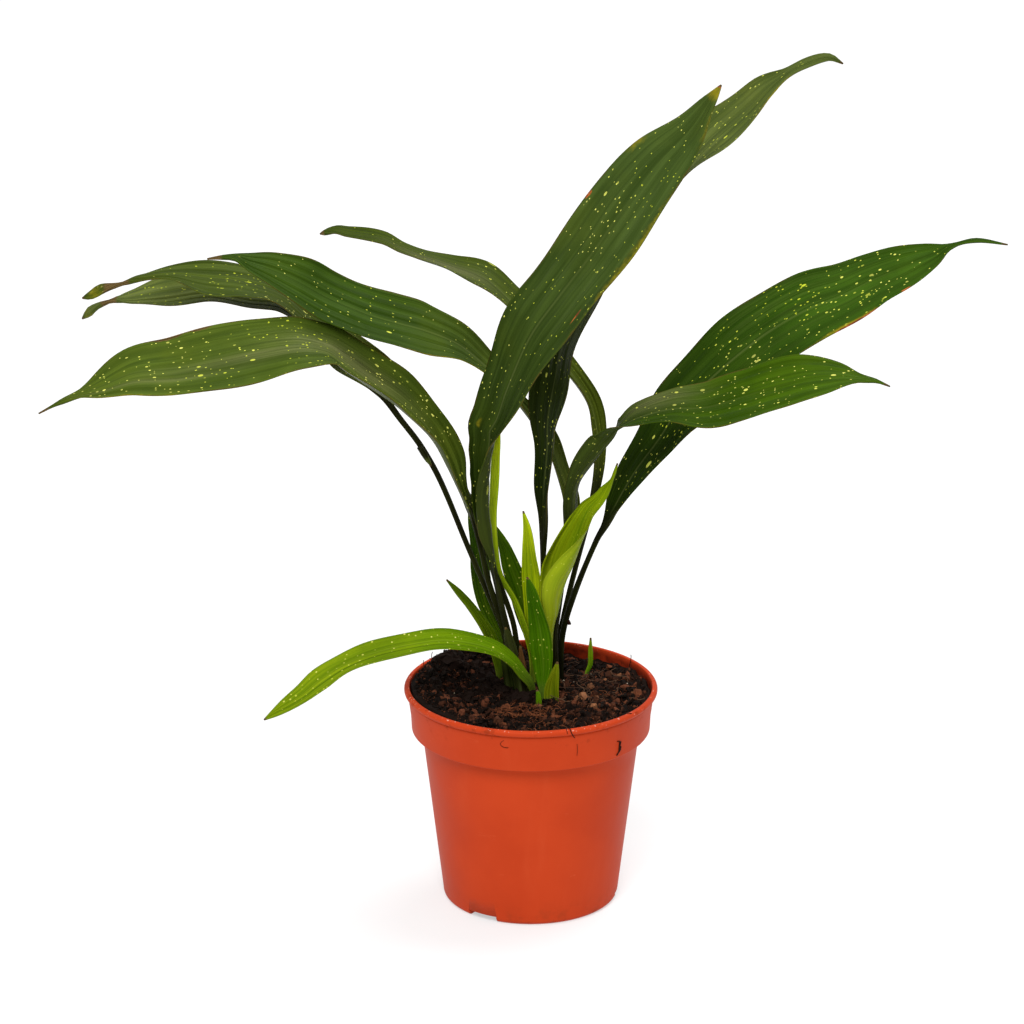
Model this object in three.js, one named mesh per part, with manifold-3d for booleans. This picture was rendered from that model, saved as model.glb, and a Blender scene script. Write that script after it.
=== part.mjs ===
// A cast iron plant in a plain plastic nursery pot, in millimetres, +Z up.
// The origin is the centre of the pot's flat foot. Seen from the front (from -Y, looking
// along +Y) the plant's leaves spread to the left (-X) and right (+X).
// Every leaf is one piece with its own stalk, which stands in a plain hole in the soil.
import * as THREE from 'three';
import { mergeVertices } from 'three/addons/utils/BufferGeometryUtils.js';
import Module from 'manifold-3d';

const wasm = await Module();
wasm.setup();

// ---------------------------------------------------------------- driving dimensions
const CLEARANCE = 0.3;          // gap between two pieces that touch

const POT_HEIGHT = 115;
const FOOT_RADIUS = 45.2;       // outside of the wall just above the rounded foot corner
const FOOT_ROUND = 3;           // radius of the foot corner
const BODY_TOP_RADIUS = 56;   // outside of the wall just under the collar
const COLLAR_BOTTOM = 92;       // height of the collar's lower edge
const COLLAR_RADIUS_LOW = 61.2;
const COLLAR_RADIUS_HIGH = 62.6;
const LIP_RADIUS = 65;
const LIP_HEIGHT = 3.4;         // the rounded bead round the rim
const WALL = 1.3;
const FLOOR = 1.6;
const POT_SIDES = 48;

const NOTCH_COUNT = 3;          // drain slots through the foot corner
const NOTCH_FIRST = -124;       // bearing of the front left slot, degrees from +X
const NOTCH_SPAN = 24;          // degrees of the wall that a slot takes
const NOTCH_HEIGHT = 3.6;
const NOTCH_DEPTH = 8;          // how far the slot reaches in from the wall

const SOIL_TOP = 109;           // mean height of the soil
const SOIL_LUMP = 0.9;          // height of the coarse crumbs
const ROOT_BOTTOM = 97;         // how deep the stalks stand
const HOLE_EASE = 0.15;         // extra room round a stalk that leans in its hole
const HOLE_ROWS = 4;            // sections of a stalk, from its foot, that reach out of the soil
const SOIL_RINGS = [53, 43, 33, 23, 12];

const BLADE = 0.8;              // thickness of a leaf blade
const STALK = 2.6;              // thickness of a full stalk at its middle
const STALK_HALF = 2.2;         // up to this half width a leaf is a round stalk
const BLADE_HALF = 6;           // from this half width on it is a thin blade

// ---------------------------------------------------------------- materials
const terracotta = () => new THREE.MeshStandardMaterial({ color: 0xc9502b, roughness: 0.5, metalness: 0 });
const pottingSoil = () => new THREE.MeshStandardMaterial({ color: 0x2a1c13, roughness: 0.95, metalness: 0 });
const matureLeaf = () => new THREE.MeshStandardMaterial({ color: 0x2f4f1b, roughness: 0.45, metalness: 0 });
const youngLeaf = () => new THREE.MeshStandardMaterial({ color: 0x6f9a1e, roughness: 0.5, metalness: 0 });

// ---------------------------------------------------------------- joining and cutting
function toSolid(geometry) {
  const plain = geometry.index ? geometry : geometry.clone();
  plain.deleteAttribute('normal');
  plain.deleteAttribute('uv');
  const merged = mergeVertices(plain, 1e-4);
  return new wasm.Manifold(new wasm.Mesh({
    numProp: 3,
    vertProperties: new Float32Array(merged.attributes.position.array),
    triVerts: new Uint32Array(merged.index.array),
  }));
}

function toGeometry(solid) {
  const mesh = solid.getMesh();
  const geometry = new THREE.BufferGeometry();
  geometry.setAttribute('position', new THREE.BufferAttribute(mesh.vertProperties, 3));
  geometry.setIndex(new THREE.BufferAttribute(mesh.triVerts, 1));
  geometry.computeVertexNormals();
  return geometry;
}

// ---------------------------------------------------------------- pot
// Half sections run up the outside and back down the inside, from the axis to the axis.
function turned(profile, sides) {
  const points = profile.map(([radius, height]) => new THREE.Vector2(radius, height));
  return new THREE.LatheGeometry(points, sides).rotateX(Math.PI / 2);
}

function quarterRound(centreRadius, centreHeight, radius, from, to, steps) {
  const arc = [];
  for (let i = 0; i <= steps; i += 1) {
    const angle = THREE.MathUtils.degToRad(from + ((to - from) * i) / steps);
    arc.push([centreRadius + radius * Math.cos(angle), centreHeight + radius * Math.sin(angle)]);
  }
  return arc;
}

function innerRadius(height) {
  if (height >= COLLAR_BOTTOM) {
    const share = (height - COLLAR_BOTTOM) / (POT_HEIGHT - COLLAR_BOTTOM);
    return THREE.MathUtils.lerp(COLLAR_RADIUS_LOW, COLLAR_RADIUS_HIGH, share) - WALL;
  }
  return THREE.MathUtils.lerp(FOOT_RADIUS, BODY_TOP_RADIUS, height / COLLAR_BOTTOM) - WALL;
}

function potProfile() {
  const bead = LIP_HEIGHT / 2;
  const lipMiddle = POT_HEIGHT - bead;
  const innerStep = COLLAR_BOTTOM + WALL;
  return [
    [0, 0],
    ...quarterRound(FOOT_RADIUS - FOOT_ROUND, FOOT_ROUND, FOOT_ROUND, -90, 0, 3),
    [BODY_TOP_RADIUS, COLLAR_BOTTOM],
    [COLLAR_RADIUS_LOW - 0.8, COLLAR_BOTTOM],
    [COLLAR_RADIUS_LOW, COLLAR_BOTTOM + 0.8],
    [COLLAR_RADIUS_HIGH, POT_HEIGHT - LIP_HEIGHT],
    ...quarterRound(LIP_RADIUS - bead, lipMiddle, bead, -90, 90, 4),
    [COLLAR_RADIUS_HIGH - WALL + 0.6, POT_HEIGHT],
    [COLLAR_RADIUS_HIGH - WALL, POT_HEIGHT - 0.6],
    [COLLAR_RADIUS_LOW - WALL, innerStep],
    [BODY_TOP_RADIUS - WALL, innerStep],
    [innerRadius(FLOOR + FOOT_ROUND), FLOOR + FOOT_ROUND],
    [FOOT_RADIUS - FOOT_ROUND - WALL, FLOOR],
    [0, FLOOR],
  ];
}

// A drain slot is a short arc cut through the wall and the edge of the floor.
function notchCutter(bearing) {
  const half = THREE.MathUtils.degToRad(NOTCH_SPAN / 2);
  const outer = FOOT_RADIUS + 4;
  const inner = FOOT_RADIUS - NOTCH_DEPTH;
  const sector = new THREE.Shape();
  sector.absarc(0, 0, outer, -half, half, false);
  sector.absarc(0, 0, inner, half, -half, true);
  const geometry = new THREE.ExtrudeGeometry(sector, {
    depth: NOTCH_HEIGHT + 2, bevelEnabled: false, curveSegments: 5,
  });
  geometry.translate(0, 0, -2);
  geometry.rotateZ(THREE.MathUtils.degToRad(bearing));
  return toSolid(geometry);
}

function makePot() {
  let solid = toSolid(turned(potProfile(), POT_SIDES));
  for (let i = 0; i < NOTCH_COUNT; i += 1) {
    solid = solid.subtract(notchCutter(NOTCH_FIRST + (i * 360) / NOTCH_COUNT));
  }
  const pot = new THREE.Mesh(toGeometry(solid), terracotta());
  pot.name = 'pot';
  return pot;
}

// ---------------------------------------------------------------- leaves
// A leaf is a ribbon. Each station gives the middle of the blade (x, y, z), the half width
// measured along the blade, the tilt and the curl. A blade with no tilt faces the front;
// tilt turns it about its own length, and curl is the angle its section bends up on each
// side, from flat (0) towards a closed channel (90 and more).
const FRONT = new THREE.Vector3(0, -1, 0);

function stationTimes(stations) {
  const times = [0];
  for (let i = 1; i < stations.length; i += 1) {
    const [a, b] = [stations[i - 1], stations[i]];
    times.push(times[i - 1] + Math.hypot(b[0] - a[0], b[1] - a[1], b[2] - a[2]));
  }
  return times;
}

// Smooth values between stations: cubic, with each slope taken from its two neighbours.
function between(stations, times, index, share, column) {
  const slope = (i) => {
    const before = Math.max(i - 1, 0);
    const after = Math.min(i + 1, stations.length - 1);
    return (stations[after][column] - stations[before][column]) / (times[after] - times[before]);
  };
  const span = times[index + 1] - times[index];
  const s2 = share * share;
  const s3 = s2 * share;
  return (2 * s3 - 3 * s2 + 1) * stations[index][column]
    + (s3 - 2 * s2 + share) * span * slope(index)
    + (3 * s2 - 2 * s3) * stations[index + 1][column]
    + (s3 - s2) * span * slope(index + 1);
}

function leafRows(stations, fineSteps) {
  const times = stationTimes(stations);
  const rows = [];
  const add = (index, share) => {
    const value = (column) => between(stations, times, index, share, column);
    rows.push({
      centre: new THREE.Vector3(value(0), value(1), value(2)),
      half: Math.max(value(3), 0.4),
      tilt: THREE.MathUtils.degToRad(value(4)),
      curl: THREE.MathUtils.degToRad(Math.max(value(5), 2)),
      length: THREE.MathUtils.lerp(times[index], times[index + 1], share),
    });
  };
  for (let i = 0; i < stations.length - 1; i += 1) {
    const slender = Math.max(stations[i][3], stations[i + 1][3]) <= STALK_HALF;
    const steps = slender ? 1 : fineSteps;
    for (let k = 0; k < steps; k += 1) {
      add(i, k / steps);
    }
  }
  add(stations.length - 2, 1);
  return rows;
}

// The section at a row: points along its middle arc, from the left margin to the right one.
function sectionPoints(rows, i, panels, wave, grow) {
  const row = rows[i];
  const before = rows[Math.max(i - 1, 0)].centre;
  const after = rows[Math.min(i + 1, rows.length - 1)].centre;
  const along = after.clone().sub(before).normalize();
  const square = along.clone().cross(FRONT).normalize();
  const facing = square.clone().cross(along);
  const across = square.clone().multiplyScalar(Math.cos(row.tilt))
    .addScaledVector(facing, Math.sin(row.tilt));
  const up = across.clone().cross(along);
  const radius = row.half / row.curl;
  const reach = 1 + grow / row.half;
  const bladeShare = THREE.MathUtils.smoothstep(row.half, STALK_HALF, BLADE_HALF);
  const middle = THREE.MathUtils.lerp(Math.min(STALK, row.half * 1.5 + 0.2), BLADE, bladeShare);
  const top = [];
  const bottom = [];
  for (let j = 0; j <= panels; j += 1) {
    const v = (2 * j) / panels - 1;
    const angle = row.curl * v * reach;
    const ripple = wave.height * bladeShare * Math.abs(v) ** 3
      * Math.sin((row.length / wave.length) * 2 * Math.PI + (v > 0 ? wave.turn : 0));
    const side = radius * Math.sin(angle);
    const rise = radius * (Math.cos(row.curl) - Math.cos(angle)) + ripple;
    const round = Math.sqrt(Math.max(1 - v * v, 0));
    const thick = (BLADE + (middle - BLADE) * round) / 2 + grow;
    const place = (offset) => row.centre.clone()
      .addScaledVector(across, side - Math.sin(angle) * offset)
      .addScaledVector(up, rise + Math.cos(angle) * offset);
    top.push(place(thick));
    bottom.push(place(-thick));
  }
  return { top, bottom };
}

function leafGeometry(stations, { panels, fineSteps, wave, grow = 0, lastRow = Infinity }) {
  const rows = leafRows(stations, fineSteps).slice(0, lastRow);
  const sections = rows.map((row, i) => sectionPoints(rows, i, panels, wave, grow));
  const width = panels + 1;
  const positions = [];
  sections.forEach(({ top, bottom }) => {
    [...top, ...bottom].forEach((point) => positions.push(point.x, point.y, point.z));
  });
  const indices = [];
  const topAt = (i, j) => i * 2 * width + j;
  const bottomAt = (i, j) => topAt(i, j) + width;
  const quad = (a, b, c, d) => indices.push(a, b, c, a, c, d);
  const last = rows.length - 1;
  for (let i = 0; i < last; i += 1) {
    for (let j = 0; j < panels; j += 1) {
      quad(topAt(i, j), topAt(i, j + 1), topAt(i + 1, j + 1), topAt(i + 1, j));
      quad(bottomAt(i, j), bottomAt(i + 1, j), bottomAt(i + 1, j + 1), bottomAt(i, j + 1));
    }
    quad(topAt(i, 0), topAt(i + 1, 0), bottomAt(i + 1, 0), bottomAt(i, 0));
    quad(topAt(i, panels), bottomAt(i, panels), bottomAt(i + 1, panels), topAt(i + 1, panels));
  }
  for (let j = 0; j < panels; j += 1) {
    quad(topAt(0, j), bottomAt(0, j), bottomAt(0, j + 1), topAt(0, j + 1));
    quad(topAt(last, j), topAt(last, j + 1), bottomAt(last, j + 1), bottomAt(last, j));
  }
  const geometry = new THREE.BufferGeometry();
  geometry.setAttribute('position', new THREE.Float32BufferAttribute(positions, 3));
  geometry.setIndex(indices);
  geometry.computeVertexNormals();
  return geometry;
}

const MATURE = { panels: 6, fineSteps: 2, wave: { height: 0.9, length: 52, turn: 2 } };
const YOUNG = { panels: 4, fineSteps: 2, wave: { height: 0.3, length: 40, turn: 1 } };

// The mature leaves, from left to right: x, y, z, half width, tilt, curl.
const matureLeaves = {
  leaf_left_low: [
    [-9.5, 7, 109, 1.8, -45, 30],
    [-11.5, 6.5, 131, 1.7, -45, 30],
    [-16.5, 6.5, 153, 1.6, -45, 30],
    [-21.5, 6.5, 170, 1.6, -46, 40],
    [-25, 7, 187, 1.6, -50, 50],
    [-28.5, 5, 204, 2.4, -62, 60],
    [-31, -1.5, 214.5, 4.6, -72, 60],
    [-33.3, -9, 227, 7.6, -76, 60],
    [-36.5, -14, 241, 12.5, -76, 52],
    [-45.5, -20, 261.5, 15, -76, 48],
    [-60, -25, 280, 17.5, -77, 48],
    [-76, -30, 294, 19, -78, 45],
    [-89, -35, 305, 19.5, -79, 40],
    [-99, -38, 311, 18.5, -79, 30],
    [-114, -43, 313, 19, -64, 15],
    [-134, -47, 311, 19.5, -54, 12],
    [-155, -52, 308, 20, -56, 12],
    [-175, -55, 305, 19, -56, 12],
    [-195, -57, 303, 16, -59, 12],
    [-212, -59, 296, 10, -66, 12],
    [-224, -59, 291, 4.2, -78, 12],
    [-233, -60, 287, 1.2, -78, 10],
    [-242, -60, 282, 0.4, -78, 10],
  ],
  leaf_left_middle: [
    [-5, 12, 109, 1.7, -48, 30],
    [-8, 11, 141, 1.5, -48, 30],
    [-13, 10, 159, 1.5, -48, 30],
    [-21, 11, 180, 1.5, -48, 30],
    [-30, 14, 208, 1.5, -48, 30],
    [-41, 18, 233, 1.7, -48, 30],
    [-56, 23, 257, 2, -48, 30],
    [-68, 27, 272, 5, -50, 40],
    [-85, 31, 284, 9, -66, 30],
    [-103, 36, 295, 15, -77, 22],
    [-124, 40, 312, 16, -82, 15],
    [-144, 43, 318, 17, -78, 12],
    [-165, 44, 320, 15, -75, 12],
    [-183, 44, 322, 10, -84, 12],
    [-198, 43, 320, 4.5, -80, 12],
    [-207, 43, 317, 1.2, -78, 20],
    [-218, 43, 314, 3.5, -62, 12],
    [-223, 43, 311, 3.1, -62, 12],
    [-228, 43, 309, 0.4, -62, 12],
  ],
  leaf_left_back: [
    [-9, 17, 109, 1.7, -54, 30],
    [-11, 16, 130, 1.6, -54, 30],
    [-20, 15, 155, 1.5, -54, 30],
    [-32, 18, 184, 1.5, -54, 30],
    [-46, 26, 217, 1.6, -54, 30],
    [-56, 31, 234, 1.7, -54, 30],
    [-67, 35, 248, 1.7, -54, 35],
    [-75, 39, 258, 2.4, -56, 40],
    [-83, 42, 265, 5, -68, 35],
    [-95, 46, 277, 13, -62, 22],
    [-108, 51, 290, 15.5, -82, 18],
    [-125, 56, 305, 16.5, -80, 15],
    [-144, 60, 307, 16.5, -77, 12],
    [-165, 64, 309, 14.5, -76, 12],
    [-187, 65, 306, 14, -73, 12],
    [-205, 64, 303, 8.5, -78, 12],
    [-214, 62, 302, 1.5, -76, 20],
    [-222, 62, 299, 2.5, -74, 12],
    [-226, 62, 296, 3.2, -60, 12],
    [-230, 62, 292, 0.4, -60, 12],
  ],
  leaf_upper_left: [
    [9, 32, 109, 1.6, -15, 40],
    [12, 33, 127, 1.5, -15, 40],
    [15, 33, 154, 1.4, -15, 40],
    [19, 33, 179, 1.6, -15, 50],
    [21, 33, 201, 5.5, -18, 70],
    [17, 32, 219, 6, -40, 70],
    [11, 30, 237, 6, -50, 60],
    [-3, 26, 258, 6, -72, 50],
    [-12, 23, 271, 7.5, -77, 40],
    [-23, 19, 284, 10.5, -75, 35],
    [-36, 11, 297, 14.5, -67, 25],
    [-52, 3, 306, 17.5, -63, 18],
    [-67, -3, 312, 17.5, -63, 15],
    [-81, -9, 318, 17.5, -61, 12],
    [-100, -14, 328, 16.5, -60, 12],
    [-114, -18, 337, 15, -57, 12],
    [-128, -20, 344, 10.5, -52, 12],
    [-138, -22, 348, 6.5, -56, 15],
    [-146, -23, 351, 2.6, -66, 25],
    [-152, -23, 351, 1.5, -73, 20],
    [-160, -23, 350, 0.4, -73, 12],
  ],
  leaf_centre: [
    [-5, 4, 109, 2.2, 8, 40],
    [-10, 3, 133, 2.1, 20, 40],
    [-15, 2, 155, 1.9, 40, 40],
    [-19, 1, 174, 2.4, 59, 50],
    [-22, 0.5, 184, 5, 65, 82],
    [-24, 0, 191, 6, 75, 118],
    [-26.5, -0.5, 198.5, 8.5, 79, 140],
    [-27.5, -1, 205.5, 8.5, 80, 147],
    [-29, -2, 215, 10, 84, 143],
    [-29.5, -2.5, 223, 11, 79, 137],
    [-29.5, -3, 228, 11.5, 68, 119],
    [-29, -3, 232.5, 12, 64, 110],
    [-28, -3.5, 240, 12, 54, 90],
    [-26.5, -4, 246.5, 12, 50, 83],
    [-25, -4.5, 253.5, 12.5, 46, 63],
    [-21.5, -5, 261, 14.5, 54, 48],
    [-15, -6, 276.5, 17, 52, 27],
    [-2, -8, 305, 20, 46, 15],
    [12, -10, 326, 21.5, 48, 12],
    [28, -11, 348, 21.5, 45, 12],
    [45, -11, 373, 21.5, 42, 12],
    [61, -10, 394, 17.5, 42, 12],
    [77, -8, 411, 11, 42, 12],
    [86, -7, 424, 5, 38, 12],
    [93, -6, 434, 0.4, 35, 12],
  ],
  leaf_centre_back: [
    [3, 34, 109, 1.6, 31, 30],
    [6, 30, 128, 1.5, 31, 30],
    [6, 26, 152, 1.4, 31, 30],
    [6, 22, 175, 1.4, 31, 35],
    [6, 18, 198, 3.2, 40, 55],
    [5, 15, 217, 5.5, 50, 55],
    [6, 13, 238, 8.5, 48, 45],
    [6, 12, 254, 11.5, 50, 35],
    [9, 12, 273, 15.5, 56, 25],
    [14, 14, 294, 17, 64, 18],
    [27, 17, 317, 18, 80, 15],
    [47, 24, 347, 17.5, 85, 15],
    [71, 31, 377, 17.5, 84, 15],
    [87, 38, 394, 17.5, 70, 15],
    [106, 45, 409, 14, 65, 15],
    [117, 50, 418, 9.5, 64, 15],
    [128, 54, 424, 4, 68, 15],
    [140, 58, 429, 3.2, 53, 15],
    [150, 59, 431, 2, 33, 15],
    [157, 61, 427, 0.4, 32, 12],
  ],
  leaf_back_arching: [
    [12.5, 27, 109, 1.6, -20, 30],
    [15, 31, 128, 1.5, -20, 30],
    [20.5, 35, 154, 1.4, -20, 30],
    [29.5, 40, 189, 1.5, -20, 40],
    [34, 43, 208, 2.7, -20, 60],
    [36, 46, 224, 4.5, -36, 60],
    [35, 48, 240, 5.5, -47, 55],
    [32, 51, 252, 6.5, -60, 50],
    [23, 55, 266, 9, -70, 40],
    [11, 60, 279, 11, -76, 35],
    [1, 66, 291, 13, -74, 30],
    [-9, 71, 301, 14, -76, 25],
    [-23, 77, 311, 14, -79, 20],
    [-41, 82, 316, 12, -88, 20],
    [-55, 86, 319, 10, -87, 15],
    [-66, 90, 322, 8, -86, 12],
    [-76, 93, 326, 7.5, -86, 12],
    [-95, 97, 328, 6.5, -77, 12],
    [-101, 98, 329, 5, -75, 12],
    [-109, 100, 326, 0.4, -76, 12],
  ],
  leaf_right_high: [
    [15, 21, 109, 1.8, 40, 30],
    [16, 21, 134, 1.7, 40, 30],
    [22, 20, 157, 1.6, 40, 30],
    [33.3, 19, 187, 1.5, 41, 40],
    [37.8, 18, 196, 2.4, 43, 50],
    [44.6, 18, 213, 7.5, 56, 40],
    [51.5, 20, 225, 11.6, 58, 28],
    [63.2, 23, 240, 14.4, 53, 20],
    [74, 25, 256, 17.5, 52, 15],
    [89, 28, 270, 20, 47, 12],
    [105, 30, 284, 21, 42, 12],
    [120, 33, 295, 21, 44, 12],
    [140, 36, 306, 20.5, 43, 12],
    [158, 38, 313, 18, 47, 12],
    [173, 41, 320, 15.5, 46, 12],
    [189, 43, 326, 12.5, 44, 12],
    [203, 46, 331, 7.5, 54, 12],
    [214, 47, 336, 1.6, 68, 20],
    [226, 49, 338, 1.5, 73, 15],
    [242, 51, 335, 0.4, 73, 12],
  ],
  leaf_right_low: [
    [13.5, 14, 109, 1.7, 158, 40],
    [12, 15, 134, 1.6, 158, 40],
    [14, 16, 151, 1.5, 158, 40],
    [17, 17, 172, 1.5, 158, 45],
    [20, 17, 195, 4, 157, 55],
    [20, 16, 211, 5.5, 145, 60],
    [21, 13, 221, 6.5, 138, 60],
    [25, 11, 231, 8.5, 137, 60],
    [31, 8, 241, 9.5, 133, 60],
    [37, 4, 250, 9.5, 130, 60],
    [41, -2, 257, 8.5, 112, 55],
    [51, -7, 264, 10, 76, 45],
    [69, -14, 271, 13.5, 69, 28],
    [87, -21, 274, 16.5, 67, 20],
    [104, -28, 281, 17.5, 63, 15],
    [121, -33, 288, 17, 61, 12],
    [136, -37, 293, 15, 64, 12],
    [152, -40, 295, 10, 66, 12],
    [164, -42, 294, 3.8, 76, 12],
    [170, -42, 293, 1.4, 85, 12],
    [177, -42, 290, 0.4, 85, 12],
  ],
};

// The young leaves and shoots of the clump, which are still pale.
const youngLeaves = {
  young_strip: [
    [1, 15, 109, 1.6, 20, 50],
    [0.5, 16, 125, 1.9, 20, 50],
    [-3, 16, 139, 1.9, 20, 45],
    [-8.5, 17, 154.5, 1.6, 20, 40],
    [-16, 17, 169, 1.4, 20, 40],
    [-18.5, 17, 185, 1.5, 25, 40],
    [-19.5, 16, 195.5, 2, 25, 40],
    [-19.5, 15.5, 205, 2.1, 25, 40],
    [-19, 14, 215, 2.4, 25, 40],
    [-18.5, 12.5, 225, 2.5, 25, 35],
    [-18, 11, 235.5, 2.2, 25, 35],
    [-17, 10.5, 243, 1.4, 25, 30],
    [-16, 10, 249, 0.4, 25, 30],
  ],
  young_left_broad: [
    [-9, 26, 109, 1.8, -45, 50],
    [-10, 27, 123, 4, -45, 60],
    [-17, 28, 137, 6, -40, 55],
    [-23, 28, 151, 6.2, -35, 45],
    [-26, 28, 168, 6, -33, 40],
    [-27, 27, 182, 5.4, -36, 35],
    [-29, 27, 195, 4, -38, 30],
    [-30, 26, 204, 2.4, -40, 25],
    [-32, 26, 211, 0.4, -40, 25],
  ],
  young_pale_middle: [
    [4, 21, 109, 1.5, 0, 50],
    [2, 20, 126, 3.7, 0, 60],
    [1, 20, 149, 5.2, 18, 50],
    [0, 20, 166, 5.2, 12, 40],
    [-1, 19, 179, 4, 20, 35],
    [-2, 18, 193, 2.2, 17, 30],
    [-4, 18, 203, 0.4, 17, 30],
  ],
  young_bright_right: [
    [8, 12, 109, 1.8, 60, 60],
    [8, 11, 124.5, 3.8, 66, 80],
    [6.5, 9, 142, 7.5, 73, 96],
    [5.5, 8, 152, 12.5, 81, 105],
    [4.5, 7, 163.5, 16.5, 87, 108],
    [6, 6, 173.5, 17.5, 84, 118],
    [12.5, 5, 185.5, 16, 67, 127],
    [20, 4, 196.5, 11.5, 55, 95],
    [25, 3, 203.5, 8, 45, 62],
    [28.5, 2, 209.5, 6, 42, 47],
    [34, 1, 215.5, 3.7, 27, 36],
    [37, 1, 220, 2.9, 28, 30],
    [40.5, 0, 226, 0.9, 25, 30],
    [42, -1, 230.5, 0.8, 25, 20],
    [43.5, -1, 235.5, 0.4, 25, 20],
  ],
  young_middle: [
    [6, 27, 109, 1.6, 12, 50],
    [3, 26, 125, 4.6, 12, 60],
    [-3, 26, 144, 5.6, 12, 50],
    [-6, 25, 158, 5.8, 3, 40],
    [-10, 24, 170, 5, 0, 35],
    [-13, 24, 180, 3.6, 12, 30],
    [-16, 23, 188, 1.8, 14, 25],
    [-18, 23, 193, 0.4, 14, 25],
  ],
  young_front: [
    [6, -3, 109, 1.5, 24, 50],
    [5.8, -3, 124, 5.4, 20, 50],
    [5.3, -4, 135, 6.5, 14, 40],
    [4.5, -4, 145, 6, 13, 35],
    [2.2, -5, 158, 4.1, 14, 30],
    [0, -6, 169, 2.6, 12, 25],
    [-2, -6, 176, 0.4, 12, 25],
  ],
  young_long_left: [
    [1.5, 1, 109, 1.6, -42, 60],
    [0, -3, 117, 2.6, -42, 70],
    [-4, -7, 124, 3.4, -46, 60],
    [-9, -10, 132, 4.5, -60, 50],
    [-18, -13, 140, 6, -66, 40],
    [-30, -16, 145, 6.5, -63, 30],
    [-45, -20, 148, 7, -61, 25],
    [-62, -24, 147, 7.5, -62, 20],
    [-80, -28, 144, 7.5, -61, 20],
    [-95, -32, 139, 7, -60, 20],
    [-107, -35, 132, 7, -49, 20],
    [-116, -38, 125, 5.5, -48, 20],
    [-125, -40, 119, 3.8, -45, 20],
    [-135, -43, 113, 0.4, -45, 20],
  ],
  young_small_left: [
    [-16, 21, 109, 1.4, -11, 50],
    [-16.5, 20, 117.5, 2.2, -14, 60],
    [-19.5, 18, 132, 3.5, -27, 45],
    [-24.5, 15, 143, 3, -38, 40],
    [-31, 13, 153.5, 2.3, -34, 35],
    [-37, 11, 161.5, 1.7, -18, 30],
    [-43, 9, 169, 0.4, -18, 30],
  ],
  shoot_front: [
    [4, -18, 109, 1.4, 0, 30],
    [4, -18.5, 113, 1.4, 0, 30],
    [3.7, -18.7, 117, 1.1, 0, 30],
    [3, -19, 119.5, 0.4, 0, 30],
  ],
  shoot_split: [
    [10.5, -9, 109, 4.6, 15, 60],
    [10.5, -9, 116, 4.2, 20, 50],
    [12, -9, 124, 2.4, 20, 45],
    [13.5, -9, 131, 0.4, 20, 40],
  ],
  shoot_right: [
    [29, 29, 109, 0.9, -10, 40],
    [31, 28, 115, 1.2, -10, 40],
    [31, 27, 123, 1.1, -10, 35],
    [31, 26, 130.5, 0.4, -10, 30],
  ],
};

// Below the soil the stalk goes straight down from its first station.
function rooted(stations) {
  const [x, y, , half, tilt, curl] = stations[0];
  return [[x, y, ROOT_BOTTOM, half, tilt, curl], ...stations];
}

function makeLeaf(name, stations, style, material) {
  const leaf = new THREE.Mesh(leafGeometry(rooted(stations), style), material());
  leaf.name = name;
  return leaf;
}

// ---------------------------------------------------------------- soil
function soilRelief(x, y) {
  const slope = -0.02 * x - 0.012 * y;
  const coarse = Math.sin(x * 0.31 + y * 0.12) * Math.sin(y * 0.37 - x * 0.09 + 1);
  const crumbs = Math.sin(x * 0.83 + 2 * Math.sin(y * 0.41)) * Math.sin(y * 0.77 + 2 * Math.sin(x * 0.37));
  return slope + SOIL_LUMP * (coarse + 0.7 * crumbs);
}

function soilProfile() {
  const low = FLOOR + FOOT_ROUND;
  const step = COLLAR_BOTTOM + WALL + CLEARANCE;
  return [
    [0, FLOOR + CLEARANCE],
    [FOOT_RADIUS - FOOT_ROUND - WALL - CLEARANCE, FLOOR + CLEARANCE],
    [innerRadius(low) - CLEARANCE, low + CLEARANCE],
    [BODY_TOP_RADIUS - WALL - CLEARANCE, step],
    [COLLAR_RADIUS_LOW - WALL - CLEARANCE, step],
    [innerRadius(SOIL_TOP - 3 * SOIL_LUMP) - CLEARANCE, SOIL_TOP],
    ...SOIL_RINGS.map((radius) => [radius, SOIL_TOP]),
    [0, SOIL_TOP],
  ];
}

// The stalk's own shape, a little larger, cut from the soil up past its surface.
function stalkHole(stations, style) {
  const longer = [[stations[0][0], stations[0][1], ROOT_BOTTOM - CLEARANCE, ...stations[0].slice(3)],
    ...stations];
  return toSolid(leafGeometry(longer, { ...style, grow: CLEARANCE + HOLE_EASE, lastRow: HOLE_ROWS }));
}

function makeSoil(holes) {
  const geometry = mergeVertices(turned(soilProfile(), POT_SIDES).deleteAttribute('uv'), 1e-4);
  const position = geometry.attributes.position;
  for (let i = 0; i < position.count; i += 1) {
    if (position.getZ(i) > SOIL_TOP - 0.01) {
      const relief = soilRelief(position.getX(i), position.getY(i));
      position.setZ(i, position.getZ(i) + relief);
    }
  }
  let solid = toSolid(geometry);
  holes.forEach((hole) => {
    solid = solid.subtract(hole);
  });
  const soil = new THREE.Mesh(toGeometry(solid), pottingSoil());
  soil.name = 'soil';
  return soil;
}

// ---------------------------------------------------------------- the plant
const plant = new THREE.Group();
const holes = [];
Object.entries(matureLeaves).forEach(([name, stations]) => {
  plant.add(makeLeaf(name, stations, MATURE, matureLeaf));
  holes.push(stalkHole(stations, MATURE));
});
Object.entries(youngLeaves).forEach(([name, stations]) => {
  plant.add(makeLeaf(name, stations, YOUNG, youngLeaf));
  holes.push(stalkHole(stations, YOUNG));
});
plant.add(makePot());
plant.add(makeSoil(holes));

export default plant;
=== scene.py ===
import math

import bmesh
import bpy
import numpy as np
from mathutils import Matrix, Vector, noise


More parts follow.
